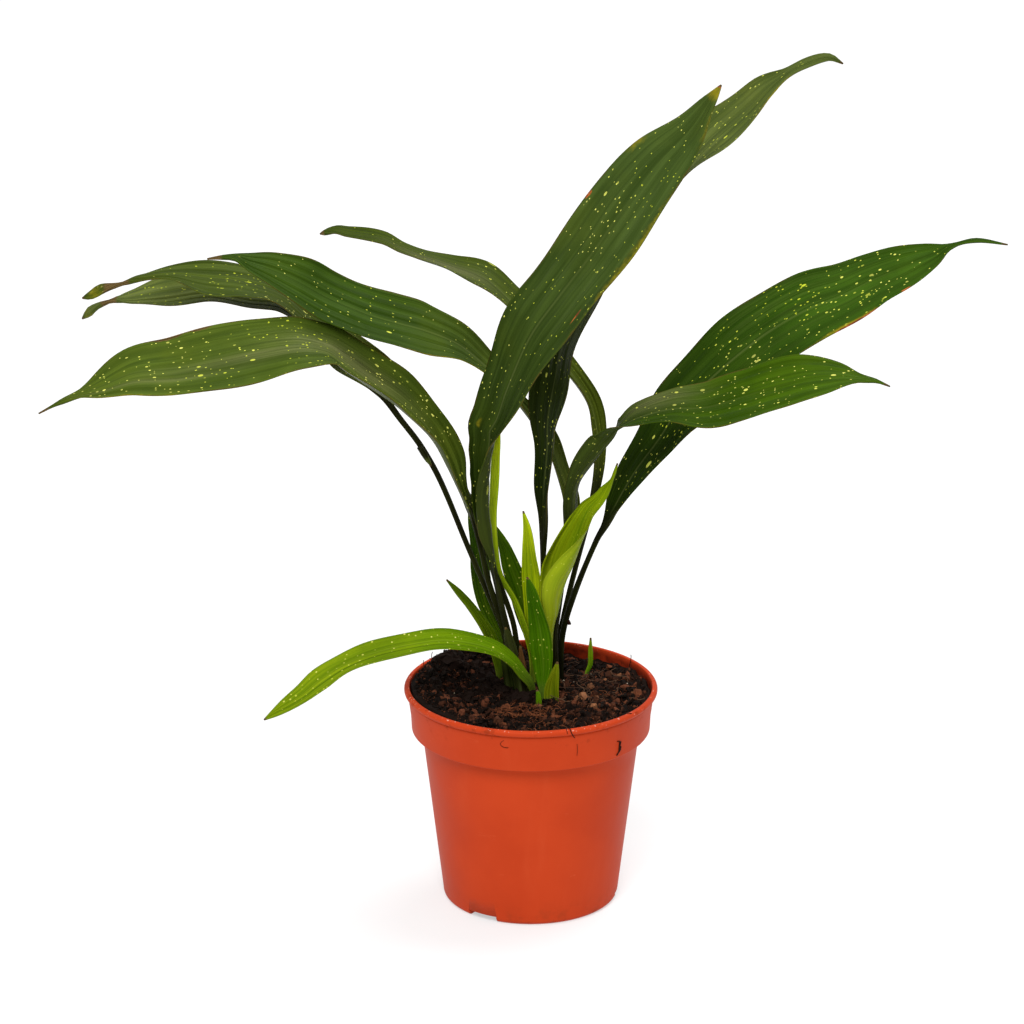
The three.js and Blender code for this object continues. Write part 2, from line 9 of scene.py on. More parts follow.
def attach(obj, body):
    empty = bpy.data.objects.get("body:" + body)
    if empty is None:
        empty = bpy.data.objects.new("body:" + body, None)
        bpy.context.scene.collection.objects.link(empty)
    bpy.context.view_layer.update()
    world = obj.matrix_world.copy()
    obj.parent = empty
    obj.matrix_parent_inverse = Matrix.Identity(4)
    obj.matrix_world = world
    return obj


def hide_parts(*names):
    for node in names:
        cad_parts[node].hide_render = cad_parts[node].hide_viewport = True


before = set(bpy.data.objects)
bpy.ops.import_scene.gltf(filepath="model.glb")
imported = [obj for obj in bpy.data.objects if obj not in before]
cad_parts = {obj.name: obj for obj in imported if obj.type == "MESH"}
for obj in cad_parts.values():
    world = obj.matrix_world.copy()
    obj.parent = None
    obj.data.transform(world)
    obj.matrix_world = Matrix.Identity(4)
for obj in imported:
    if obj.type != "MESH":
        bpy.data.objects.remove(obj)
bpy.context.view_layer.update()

# ------------------------------------------------------------------ studio
# A white sweep under broad soft light, as for a plant photographed for a shop page.
# The camera stands 2.6 m in front of the plant and looks down on it by about 20 degrees.
AIM = Vector((-0.00966, 0.0, 0.20906))
CAMERA_DISTANCE = 2.6
CAMERA_DOWN = math.radians(19.77)
CAMERA_LENS = 180.41
SENSOR = 36.0
FLOOR_HALF = 6.0
SWEEP_GLOW = 0.50         # of the back-lit paper, which keeps its shadows light and neutral


def feed(made, inputs):
    """Links or sets the inputs of a node; a node that is given stands for its first output."""
    for name, value in inputs.items():
        if isinstance(value, bpy.types.Node):
            value = value.outputs[0]
        if isinstance(value, bpy.types.NodeSocket):
            made.id_data.links.new(value, made.inputs[name])
        else:
            made.inputs[name].default_value = value


def node(tree, kind, inputs=None, **settings):
    made = tree.nodes.new(kind)
    for name, value in settings.items():
        setattr(made, name, value)
    feed(made, inputs or {})
    return made


def tree_of(*values):
    return next(value.id_data for value in values if isinstance(value, bpy.types.NodeSocket))


def mix(share, a, b, blend_type="MIX"):
    made = node(tree_of(share, a, b), "ShaderNodeMix", data_type="RGBA", blend_type=blend_type)
    feed(made, {0: share, 6: a, 7: b})
    return made.outputs[2]


def grain(vector, scale, detail=2.0, roughness=0.5, distortion=0.0):
    return node(tree_of(vector), "ShaderNodeTexNoise", {
        "Vector": vector, "Scale": scale, "Detail": detail, "Roughness": roughness,
        "Distortion": distortion}).outputs["Fac"]


def place_of(tree):
    return node(tree, "ShaderNodeTexCoord").outputs["Object"]


def new_material(name):
    material = bpy.data.materials.new(name)
    material.use_nodes = True
    tree = material.node_tree
    tree.nodes.clear()
    shader = node(tree, "ShaderNodeBsdfPrincipled")
    node(tree, "ShaderNodeOutputMaterial", {"Surface": shader})
    return material, tree, shader


def new_object(name, mesh, material=None):
    piece = bpy.data.objects.new(name, mesh)
    bpy.context.scene.collection.objects.link(piece)
    if material:
        mesh.materials.append(material)
    return piece


def sweep_paper():
    material, tree, shader = new_material("white_sweep")
    mottle = grain(place_of(tree), 3.0)
    feed(shader, {
        "Base Color": mix(mottle, (0.42, 0.42, 0.42, 1), (0.45, 0.45, 0.45, 1)), "Roughness": 0.9,
        "Specular IOR Level": 0.1, "Emission Color": (1.0, 1.0, 1.0, 1.0), "Emission Strength": SWEEP_GLOW})
    return material


camera_data = bpy.data.cameras.new("camera")
camera_data.lens = CAMERA_LENS
camera_data.sensor_width = SENSOR
camera_data.clip_end = 50.0
camera = bpy.data.objects.new("camera", camera_data)
bpy.context.scene.collection.objects.link(camera)
camera.location = AIM + CAMERA_DISTANCE * Vector((0, -math.cos(CAMERA_DOWN), math.sin(CAMERA_DOWN)))
camera.rotation_euler = (math.pi / 2 - CAMERA_DOWN, 0, 0)
bpy.context.scene.camera = camera

floor_mesh = bpy.data.meshes.new("floor")
floor_corners = [(x * FLOOR_HALF, y * FLOOR_HALF, 0) for x, y in ((-1, -1), (1, -1), (1, 1), (-1, 1))]
floor_mesh.from_pydata(floor_corners, [], [(0, 1, 2, 3)])
floor = new_object("floor", floor_mesh, sweep_paper())

world = bpy.data.worlds.new("studio")
world.use_nodes = True
world.node_tree.nodes["Background"].inputs["Color"].default_value = (1.0, 1.0, 1.0, 1.0)
world.node_tree.nodes["Background"].inputs["Strength"].default_value = 0.58
bpy.context.scene.world = world
bpy.context.scene.view_settings.view_transform = "Standard"


def soft_box(name, place, aim, size, power):
    lamp = bpy.data.lights.new(name, "AREA")
    lamp.shape = "DISK"
    lamp.size = size
    lamp.energy = power
    holder = bpy.data.objects.new(name, lamp)
    bpy.context.scene.collection.objects.link(holder)
    holder.location = place
    holder.rotation_euler = (Vector(aim) - Vector(place)).to_track_quat("-Z", "Y").to_euler()


soft_box("key_light", (-0.5, -2.4, 2.9), (0, 0, 0.2), 1.8, 104)
soft_box("top_light", (0.9, 0.9, 3.2), (0, 0, 0.2), 2.2, 76)

# ------------------------------------------------------------------ pot
# A plain nursery pot of terracotta-coloured polypropylene, 1 to 1.3 mm thick, moulded in one
# piece: a tapered body, a wider collar to stack by, a rounded lip and three drain slots.
MM = 0.001
POT_HEIGHT = 115.0
FOOT_RADIUS = 45.2
FOOT_ROUND = 3.0
BODY_TOP_RADIUS = 56.0
COLLAR_BOTTOM = 92.0
COLLAR_RADIUS_LOW = 61.2
COLLAR_RADIUS_HIGH = 63.2
COLLAR_WALL = 1.0
LIP_RADIUS = 65.0
LIP_HEIGHT = 3.4
WALL = 1.3
WALL_LEAN = 0.08696       # how far the collar's wall leans out for each unit of height
POT_FLOOR = 1.6
POT_SIDES = 192
TURN_RADIUS = 0.1         # of the circle that the section is swept round
SLOT_COUNT = 3
SLOT_FIRST = -124.0       # bearing of the slot that shows, in degrees
SLOT_WIDTH = 17.0
SLOT_DEPTH = 16.0         # of the cutting block, half of it inside the foot's edge
SLOT_HEIGHT = 3.4


def calc(operation, a, b=0.0, c=0.0):
    return node(tree_of(a, b, c), "ShaderNodeMath", {0: a, 1: b, 2: c}, operation=operation).outputs[0]


def times(a, b):
    return calc("MULTIPLY", a, b)


def times_plus(a, b, c):
    return calc("MULTIPLY_ADD", a, b, c)


def ramp(value, low, high, out_low=0.0, out_high=1.0):
    """Smooth step from out_low to out_high as value goes from low to high."""
    return node(tree_of(value), "ShaderNodeMapRange", {
        "Value": value, "From Min": low, "From Max": high, "To Min": out_low, "To Max": out_high,
    }, interpolation_type="SMOOTHSTEP").outputs["Result"]


def stretched(vector, scale, shift=(0.0, 0.0, 0.0)):
    return node(tree_of(vector), "ShaderNodeMapping", {
        "Vector": vector, "Scale": scale, "Location": shift}).outputs["Vector"]


def streaks(vector, scale, *finish):
    return grain(stretched(vector, scale), 1.0, *finish)


def bump(height, strength, distance, below=None):
    """A relief of this height field, over another relief if one is given."""
    inputs = {"Strength": strength, "Distance": distance, "Height": height}
    if below:
        inputs["Normal"] = below
    return node(tree_of(height), "ShaderNodeBump", inputs)


def split(vector):
    return node(tree_of(vector), "ShaderNodeSeparateXYZ", {0: vector}).outputs


def paint(red, green, blue):
    """A paint-chart colour (0 to 255) as the linear colour that a shader takes."""
    linear = [((c / 255 + 0.055) / 1.055) ** 2.4 if c > 10 else c / 255 / 12.92 for c in (red, green, blue)]
    return (*linear, 1.0)


def arc(centre_radius, centre_height, radius, start, end, steps):
    turns = [math.radians(start + (end - start) * i / steps) for i in range(steps + 1)]
    return [(centre_radius + radius * math.cos(t), centre_height + radius * math.sin(t)) for t in turns]


def pot_inner_radius(height):
    if height >= COLLAR_BOTTOM:
        share = (height - COLLAR_BOTTOM) / (POT_HEIGHT - COLLAR_BOTTOM)
        return COLLAR_RADIUS_LOW + (COLLAR_RADIUS_HIGH - COLLAR_RADIUS_LOW) * share - COLLAR_WALL
    return FOOT_RADIUS + (BODY_TOP_RADIUS - FOOT_RADIUS) * height / COLLAR_BOTTOM - WALL


def pot_profile():
    bead = LIP_HEIGHT / 2
    inner_step = COLLAR_BOTTOM + WALL
    taper = BODY_TOP_RADIUS - FOOT_RADIUS
    body = [(FOOT_RADIUS + taper * (height - FOOT_ROUND) / (COLLAR_BOTTOM - FOOT_ROUND), height)
            for height in (12, 24, 36, 48, 60, 72, 82, 91.2)]
    return [
        (0, 0), (20, 0), (36, 0),
        *arc(FOOT_RADIUS - FOOT_ROUND, FOOT_ROUND, FOOT_ROUND, -90, 0, 8),
        *body,
        *arc(BODY_TOP_RADIUS + 0.6, COLLAR_BOTTOM - 0.6, 0.6, 180, 90, 3),
        (COLLAR_RADIUS_LOW - 0.9, COLLAR_BOTTOM),
        *arc(COLLAR_RADIUS_LOW - 0.7, COLLAR_BOTTOM + 0.7, 0.7, -90, 0, 4),
        (COLLAR_RADIUS_LOW + 0.4, COLLAR_BOTTOM + 8),
        (COLLAR_RADIUS_HIGH - 0.2, POT_HEIGHT - LIP_HEIGHT - 1.6),
        (COLLAR_RADIUS_HIGH, POT_HEIGHT - LIP_HEIGHT - 0.2),
        *arc(LIP_RADIUS - bead, POT_HEIGHT - bead, bead, -110, 90, 12),
        *arc(COLLAR_RADIUS_HIGH - COLLAR_WALL + 0.6, POT_HEIGHT - 0.6, 0.6, 90, 180, 4),
        (pot_inner_radius(inner_step + 8), inner_step + 8),
        (pot_inner_radius(inner_step), inner_step),
        (BODY_TOP_RADIUS - WALL, inner_step),
        (pot_inner_radius(50), 50),
        (pot_inner_radius(POT_FLOOR + FOOT_ROUND), POT_FLOOR + FOOT_ROUND),
        (FOOT_RADIUS - FOOT_ROUND - WALL, POT_FLOOR),
        (0, POT_FLOOR),
    ]


def pot_plastic():
    material, tree, shader = new_material("terracotta_plastic")
    place = place_of(tree)
    x, y, height = split(place)
    cloud = grain(place, 26.0, 3.0)
    fine = grain(place, 900.0, 2.0)
    colour = mix(ramp(cloud, 0.3, 0.7), paint(176, 56, 24), paint(184, 61, 27))
    streak = streaks(place, (70, 70, 6), 4.0, 0.6)
    colour = mix(ramp(streak, 0.55, 0.8, 0, 0.25), colour, paint(190, 74, 40))
    scuff = streaks(place, (55, 55, 420), 5.0, 0.7, 1.5)
    colour = mix(ramp(scuff, 0.66, 0.74, 0, 0.3), colour, paint(204, 100, 68))
    splash = grain(place, 120.0, 6.0, 0.7)
    near_rim = ramp(height, 0.098, 0.1145)
    dirt = times(ramp(splash, 0.56, 0.66), near_rim)
    colour = mix(times(dirt, 0.45), colour, paint(92, 36, 18))
    foot_dust = times(ramp(splash, 0.45, 0.7), ramp(height, 0.016, 0.0))
    colour = mix(times(foot_dust, 0.4), colour, paint(112, 50, 26))
    from_axis = calc("SQRT", times_plus(x, x, times(y, y)))
    inside = ramp(times_plus(height, -WALL_LEAN, from_axis), 0.0529, 0.0525)
    inside = times(inside, ramp(height, 0.1, 0.103))
    # The inside of the collar above the soil is made much darker in soft blotches, most towards the soil
    # and least at the lip's top.
    darkened_inner_wall = times(inside, ramp(splash, 0.3, 0.6, 0.55, 0.95))
    darkened_inner_wall = times(darkened_inner_wall, ramp(height, 0.1148, 0.1115, 0.1, 0.9))
    # Pale specks along the very top of the lip: painted highlight glints.
    lip_glints = times(ramp(grain(place, 700.0, 2.0), 0.66, 0.7), ramp(height, 0.1135, 0.1145))
    colour = mix(times(lip_glints, 0.6), colour, paint(232, 178, 158))
    colour = mix(darkened_inner_wall, colour, paint(60, 16, 8))
    feed(shader, {
        "Base Color": colour, "Roughness": times_plus(dirt, 0.3, ramp(cloud, 0.3, 0.7, 0.46, 0.56)),
        "Specular IOR Level": 0.09, "Specular Tint": (1.0, 0.62, 0.42, 1.0),
        "Normal": bump(cloud, 0.25, 0.002, bump(fine, 0.12, 0.0003))})
    return material


def finished_mesh(holder, name):
    """The plain mesh of an object with its modifiers applied; the holder goes."""
    graph = bpy.context.evaluated_depsgraph_get()
    mesh = bpy.data.meshes.new_from_object(holder.evaluated_get(graph), depsgraph=graph)
    mesh.name = name
    bpy.data.objects.remove(holder)
    return mesh


def geometry_tree(name, sockets):
    """A tree with a geometry in and out and the named inputs: the tree, its inputs and its output node."""
    tree = bpy.data.node_groups.new(name, "GeometryNodeTree")
    for label, kind in {"Geometry": "Geometry", **sockets}.items():
        tree.interface.new_socket(name=label, in_out="INPUT", socket_type="NodeSocket" + kind)
    tree.interface.new_socket(name="Geometry", in_out="OUTPUT", socket_type="NodeSocketGeometry")
    return tree, node(tree, "NodeGroupInput").outputs, node(tree, "NodeGroupOutput")


def geo(tree, kind, inputs=None, **settings):
    return node(tree, "GeometryNode" + kind, inputs, **settings)


def close_tree(tree, result, geometry, material):
    """Ends a tree in plain geometry that wears this material."""
    real = geo(tree, "RealizeInstances", {"Geometry": geometry})
    feed(result, {0: geo(tree, "SetMaterial", {"Geometry": real, "Material": material})})


def apply_tree(holder, tree, values, name):
    """Runs a tree on an object with these input values and returns the plain mesh."""
    modifier = holder.modifiers.new(tree.name, "NODES")
    modifier.node_group = tree
    for item in tree.interface.items_tree:
        if item.in_out == "INPUT" and item.name in values:
            modifier[item.identifier] = values[item.name]
    return finished_mesh(holder, name)


def turned_pot(material):
    """The half section turned about the axis, with the drain slots cut round the foot."""
    section = bpy.data.curves.new("pot_section", "CURVE")
    section.dimensions = "3D"
    spline = section.splines.new("POLY")
    points = pot_profile()
    spline.points.add(len(points) - 1)
    for point, (radius, height) in zip(spline.points, points):
        point.co = ((radius - TURN_RADIUS) * MM, -height * MM, 0, 1)
    tree, given, result = geometry_tree("turned_pot", {
        "Sides": "Int", "Turn radius": "Float", "Slots": "Int", "Slot bearing": "Float",
        "Slot size": "Vector", "Slot radius": "Float"})
    circle = geo(tree, "CurvePrimitiveCircle", {
        "Resolution": given["Sides"], "Radius": given["Turn radius"]})
    turned = geo(tree, "CurveToMesh", {"Curve": circle, "Profile Curve": given["Geometry"]})
    welded = geo(tree, "MergeByDistance", {"Geometry": turned, "Distance": 0.00001})
    ring = geo(tree, "MeshCircle", {"Vertices": given["Slots"], "Radius": given["Slot radius"]})
    block = geo(tree, "MeshCube", {
        "Size": given["Slot size"], "Vertices X": 2, "Vertices Y": 2, "Vertices Z": 2})
    outward = node(tree, "FunctionNodeAlignRotationToVector", {
        "Vector": geo(tree, "InputPosition")}, axis="X")
    slots = geo(tree, "InstanceOnPoints", {"Points": ring, "Instance": block, "Rotation": outward})
    real_slots = geo(tree, "RealizeInstances", {"Geometry": slots})
    turn = node(tree, "ShaderNodeCombineXYZ", {2: given["Slot bearing"]})
    placed = geo(tree, "Transform", {"Geometry": real_slots, "Rotation": turn})
    bored = geo(tree, "MeshBoolean", {"Mesh 1": welded, "Mesh 2": placed},
                operation="DIFFERENCE", solver="EXACT")
    close_tree(tree, result, geo(tree, "SetShadeSmooth", {"Geometry": bored}), material)
    return apply_tree(new_object("pot_section", section), tree, {
        "Sides": POT_SIDES, "Turn radius": TURN_RADIUS * MM, "Slots": SLOT_COUNT,
        "Slot bearing": math.radians(SLOT_FIRST),
        "Slot size": (SLOT_DEPTH * MM, SLOT_WIDTH * MM, 2 * SLOT_HEIGHT * MM),
        "Slot radius": FOOT_RADIUS * MM,
    }, "pot")


def faces_outward(mesh):
    work = bmesh.new()
    work.from_mesh(mesh)
    bmesh.ops.remove_doubles(work, verts=work.verts, dist=0.000002)
    bmesh.ops.recalc_face_normals(work, faces=work.faces)
    work.to_mesh(mesh)
    work.free()


pot_material = pot_plastic()
pot_mesh = turned_pot(pot_material)
faces_outward(pot_mesh)
pot = new_object("nursery_pot", pot_mesh)
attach(pot, "root")
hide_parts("pot")

# ------------------------------------------------------------------ mature leaves
# Tough, leathery blades of a cast iron plant, each grown in one piece with its own stalk, which
# goes about 12 mm down into the soil.
ROOT_BOTTOM = 97.0
BLADE_EDGE = 0.34         # thickness of a blade at its margins
BLADE_MIDDLE = 0.6        # and beside its midrib
STALK = 2.6
STALK_HALF = 2.2
BLADE_HALF = 6.0
LEAF_STEP = 2.4           # distance between two rows of a leaf's mesh

# For each leaf: colour at the tip and above the stalk, mm of browned tip, how many speckles; then
# its stations. A station gives the middle of the blade, its half width, tilt and curl, in mm and
# degrees; one that leaves out its tilt or curl keeps those of the station before it.
# Where the colour above the stalk is the darker one, it is partly the leaf's own colour and partly painted
# shade under the leaves above, most on leaves that lie behind others.
MATURE_LEAVES = {
    "leaf_left_low": (((63, 80, 21), (58, 72, 16), 7, 1.1), [
        (-9.5, 7, 109, 1.8, -45, 30), (-11.5, 6.5, 131, 1.7), (-16.5, 6.5, 153, 1.6),
        (-21.5, 6.5, 170, 1.6, -46, 40), (-25, 7, 187, 1.6, -50, 50), (-28.5, 5, 204, 2.4, -62, 60),
        (-31, -1.5, 214.5, 4.6, -72), (-33.3, -9, 227, 7.6, -76), (-36.5, -14, 241, 12.5, -76, 52),
        (-45.5, -20, 261.5, 15, -76, 48), (-60, -25, 280, 17.5, -77), (-76, -30, 294, 19, -78, 45),
        (-89, -35, 305, 19.5, -79, 40), (-99, -38, 311, 18.5, -79, 30), (-114, -43, 313, 19, -64, 15),
        (-134, -47, 311, 19.5, -54, 12), (-155, -52, 308, 20, -56), (-175, -55, 305, 19),
        (-195, -57, 303, 16, -59), (-212, -59, 296, 10, -66), (-224, -59, 291, 4.2, -78),
        (-233, -60, 287, 1.2, -78, 10), (-242, -60, 282, 0.4),
    ]),
    "leaf_left_middle": (((57, 71, 18), (56, 62, 24), 0.1, 1.15), [
        (-5, 12, 109, 1.7, -48, 30), (-8, 11, 141, 1.5), (-13, 10, 159, 1.5), (-21, 11, 180, 1.5),
        (-30, 14, 208, 1.5), (-41, 18, 233, 1.7), (-56, 23, 257, 2), (-68, 27, 272, 5, -50, 40),
        (-85, 31, 284, 9, -66, 30), (-103, 36, 295, 15, -77, 22), (-124, 40, 312, 16, -82, 15),
        (-144, 43, 318, 17, -78, 12), (-165, 44, 320, 15, -75), (-183, 44, 322, 10, -84),
        (-198, 43, 320, 4.5, -80), (-207, 43, 317, 1.2, -78, 20), (-218, 43, 314, 3.5, -62, 12),
        (-223, 43, 311, 3.1), (-228, 43, 309, 0.4),
    ]),
    "leaf_left_back": (((79, 90, 39), (66, 74, 30), 0.1, 1.1), [
        (-9, 17, 109, 1.7, -54, 30), (-11, 16, 130, 1.6), (-20, 15, 155, 1.5), (-32, 18, 184, 1.5),
        (-46, 26, 217, 1.6), (-56, 31, 234, 1.7), (-67, 35, 248, 1.7, -54, 35),
        (-75, 39, 258, 2.4, -56, 40), (-83, 42, 265, 5, -68, 35), (-95, 46, 277, 13, -62, 22),
        (-108, 51, 290, 15.5, -82, 18), (-125, 56, 305, 16.5, -80, 15), (-144, 60, 307, 16.5, -77, 12),
        (-165, 64, 309, 14.5, -76), (-187, 65, 306, 14, -73), (-205, 64, 303, 8.5, -78),
        (-214, 62, 302, 1.5, -76, 20), (-222, 62, 299, 2.5, -74, 12), (-226, 62, 296, 3.2, -60),
        (-230, 62, 292, 0.4),
    ]),
    "leaf_upper_left": (((44, 66, 14), (72, 84, 30), 8, 0.8), [
        (9, 32, 109, 1.6, -15, 40), (12, 33, 127, 1.5), (15, 33, 154, 1.4), (19, 33, 179, 1.6, -15, 50),
        (21, 33, 201, 5.5, -18, 70), (17, 32, 219, 6, -40), (11, 30, 237, 6, -50, 60),
        (-3, 26, 258, 6, -72, 50), (-12, 23, 271, 7.5, -77, 40), (-23, 19, 284, 10.5, -75, 35),
        (-36, 11, 297, 14.5, -67, 25), (-52, 3, 306, 17.5, -63, 18), (-67, -3, 312, 17.5, -63, 15),
        (-81, -9, 318, 17.5, -61, 12), (-100, -14, 328, 16.5, -60), (-114, -18, 337, 15, -57),
        (-128, -20, 344, 10.5, -52), (-138, -22, 348, 6.5, -56, 15), (-146, -23, 351, 2.6, -66, 25),
        (-152, -23, 351, 1.5, -73, 20), (-160, -23, 350, 0.4, -73, 12),
    ]),
    "leaf_centre": (((57, 74, 29), (37, 52, 8), 1, 0.95), [
        (-5, 4, 109, 2.2, 8, 40), (-10, 3, 133, 2.1, 20), (-15, 2, 155, 1.9, 40),
        (-19, 1, 174, 2.4, 59, 50), (-22, 0.5, 184, 5, 65, 82), (-24, 0, 191, 6, 75, 118),
        (-26.5, -0.5, 198.5, 8.5, 79, 140), (-27.5, -1, 205.5, 8.5, 80, 147), (-29, -2, 215, 10, 84, 143),
        (-29.5, -2.5, 223, 11, 79, 137), (-29.5, -3, 228, 11.5, 68, 119), (-29, -3, 232.5, 12, 64, 110),
        (-28, -3.5, 240, 12, 54, 90), (-26.5, -4, 246.5, 12, 50, 83), (-25, -4.5, 253.5, 12.5, 46, 63),
        (-21.5, -5, 261, 14.5, 54, 48), (-15, -6, 276.5, 17, 52, 27), (-2, -8, 305, 20, 46, 15),
        (12, -10, 326, 21.5, 48, 12), (28, -11, 348, 21.5, 45), (45, -11, 373, 21.5, 42),
        (61, -10, 394, 17.5), (77, -8, 411, 11), (86, -7, 424, 5, 38), (93, -6, 434, 0.4, 35),
    ]),
    "leaf_centre_back": (((76, 88, 38), (20, 33, 4), 3, 1.0), [
        (3, 34, 109, 1.6, 31, 30), (6, 30, 128, 1.5), (6, 26, 152, 1.4), (6, 22, 175, 1.4, 31, 35),
        (6, 18, 198, 3.2, 40, 55), (5, 15, 217, 5.5, 50), (6, 13, 238, 8.5, 48, 45),
        (6, 12, 254, 11.5, 50, 35), (9, 12, 273, 15.5, 56, 25), (14, 14, 294, 17, 64, 18),
        (27, 17, 317, 18, 80, 15), (47, 24, 347, 17.5, 85), (71, 31, 377, 17.5, 84),
        (87, 38, 394, 17.5, 70), (106, 45, 409, 14, 65), (117, 50, 418, 9.5, 64), (128, 54, 424, 4, 68),
        (140, 58, 429, 3.2, 53), (150, 59, 431, 2, 33), (157, 61, 427, 0.4, 32, 12),
    ]),
    "leaf_back_arching": (((50, 64, 10), (74, 86, 20), 3, 0.95), [
        (12.5, 27, 109, 1.6, -20, 30), (15, 31, 128, 1.5), (20.5, 35, 154, 1.4),
        (29.5, 40, 189, 1.5, -20, 40), (34, 43, 208, 2.7, -20, 60), (36, 46, 224, 4.5, -36),
        (35, 48, 240, 5.5, -47, 55), (32, 51, 252, 6.5, -60, 50), (23, 55, 266, 9, -70, 40),
        (11, 60, 279, 11, -76, 35), (1, 66, 291, 13, -74, 30), (-9, 71, 301, 14, -76, 25),
        (-23, 77, 311, 14, -79, 20), (-41, 82, 316, 12, -88), (-55, 86, 319, 10, -87, 15),
        (-66, 90, 322, 8, -86, 12), (-76, 93, 326, 7.5), (-95, 97, 328, 6.5, -77), (-101, 98, 329, 5, -75),
        (-109, 100, 326, 0.4, -76),
    ]),
    "leaf_right_high": (((46, 74, 12), (26, 42, 4), 4, 1.15), [
        (15, 21, 109, 1.8, 40, 30), (16, 21, 134, 1.7), (22, 20, 157, 1.6), (33.3, 19, 187, 1.5, 41, 40),
        (37.8, 18, 196, 2.4, 43, 50), (44.6, 18, 213, 7.5, 56, 40), (51.5, 20, 225, 11.6, 58, 28),
        (63.2, 23, 240, 14.4, 53, 20), (74, 25, 256, 17.5, 52, 15), (89, 28, 270, 20, 47, 12),
        (105, 30, 284, 21, 42), (120, 33, 295, 21, 44), (140, 36, 306, 20.5, 43), (158, 38, 313, 18, 47),
        (173, 41, 320, 15.5, 46), (189, 43, 326, 12.5, 44), (203, 46, 331, 7.5, 54),
        (214, 47, 336, 1.6, 68, 20), (226, 49, 338, 1.5, 73, 15), (242, 51, 335, 0.4, 73, 12),
    ]),
    "leaf_right_low": (((50, 76, 6), (30, 44, 6), 4, 1.1), [
        (13.5, 14, 109, 1.7, 158, 40), (12, 15, 134, 1.6), (14, 16, 151, 1.5), (17, 17, 172, 1.5, 158, 45),
        (20, 17, 195, 4, 157, 55), (20, 16, 211, 5.5, 145, 60), (21, 13, 221, 6.5, 138),
        (25, 11, 231, 8.5, 137), (31, 8, 241, 9.5, 133), (37, 4, 250, 9.5, 130),
        (41, -2, 257, 8.5, 112, 55), (51, -7, 264, 10, 76, 45), (69, -14, 271, 13.5, 69, 28),
        (87, -21, 274, 16.5, 67, 20), (104, -28, 281, 17.5, 63, 15), (121, -33, 288, 17, 61, 12),
        (136, -37, 293, 15, 64), (152, -40, 295, 10, 66), (164, -42, 294, 3.8, 76),
        (170, -42, 293, 1.4, 85), (177, -42, 290, 0.4),
    ]),
}


def smooth_step(value, low, high):
    t = np.clip((value - low) / (high - low), 0, 1)
    return t * t * (3 - 2 * t)


def leaf_rows(stations, rooted=True):
    """Closely spaced rows between the stations: cubic, each slope taken from its two neighbours."""
    whole = []
    for row in stations:
        whole.append((*row, *whole[-1][len(row):]) if whole else row)
    stations = np.array(whole, float)
    if rooted:
        foot = stations[:1].copy()
        foot[0, 2] = ROOT_BOTTOM
        stations = np.vstack([foot, stations])
    legs = np.linalg.norm(np.diff(stations[:, :3], axis=0), axis=1)
    run = np.concatenate([[0], np.cumsum(legs)])
    last = len(stations) - 1
    before = np.maximum(np.arange(last + 1) - 1, 0)
    after = np.minimum(np.arange(last + 1) + 1, last)
    slopes = (stations[after] - stations[before]) / (run[after] - run[before])[:, None]
    rows, lengths = [], []
    for i in range(last):
        steps = max(2, round(legs[i] / LEAF_STEP))
        for t in np.arange(steps + (i == last - 1)) / steps:
            rows.append(
                (2 * t**3 - 3 * t**2 + 1) * stations[i] + (t**3 - 2 * t**2 + t) * legs[i] * slopes[i]
                + (3 * t**2 - 2 * t**3) * stations[i + 1] + (t**3 - t**2) * legs[i] * slopes[i + 1])
            lengths.append(run[i] + t * legs[i])
    return np.array(rows), np.array(lengths), legs[0] if rooted else 0.0


def leaf_frames(rows):
    centre = rows[:, :3]
    index = np.arange(len(rows))
    along = centre[np.minimum(index + 1, len(rows) - 1)] - centre[np.maximum(index - 1, 0)]
    along /= np.linalg.norm(along, axis=1)[:, None]
    square = np.cross(along, (0, -1, 0))
    square /= np.linalg.norm(square, axis=1)[:, None]
    facing = np.cross(square, along)
    tilt = np.radians(rows[:, 4])[:, None]
    across = square * np.cos(tilt) + facing * np.sin(tilt)
    return across, np.cross(across, along)


def put_attribute(mesh, name, x, y, z):
    values = np.stack(np.broadcast_arrays(x, y, z), axis=-1).astype(np.float32)
    mesh.attributes.new(name, "FLOAT_VECTOR", "POINT").data.foreach_set("vector", values.ravel())


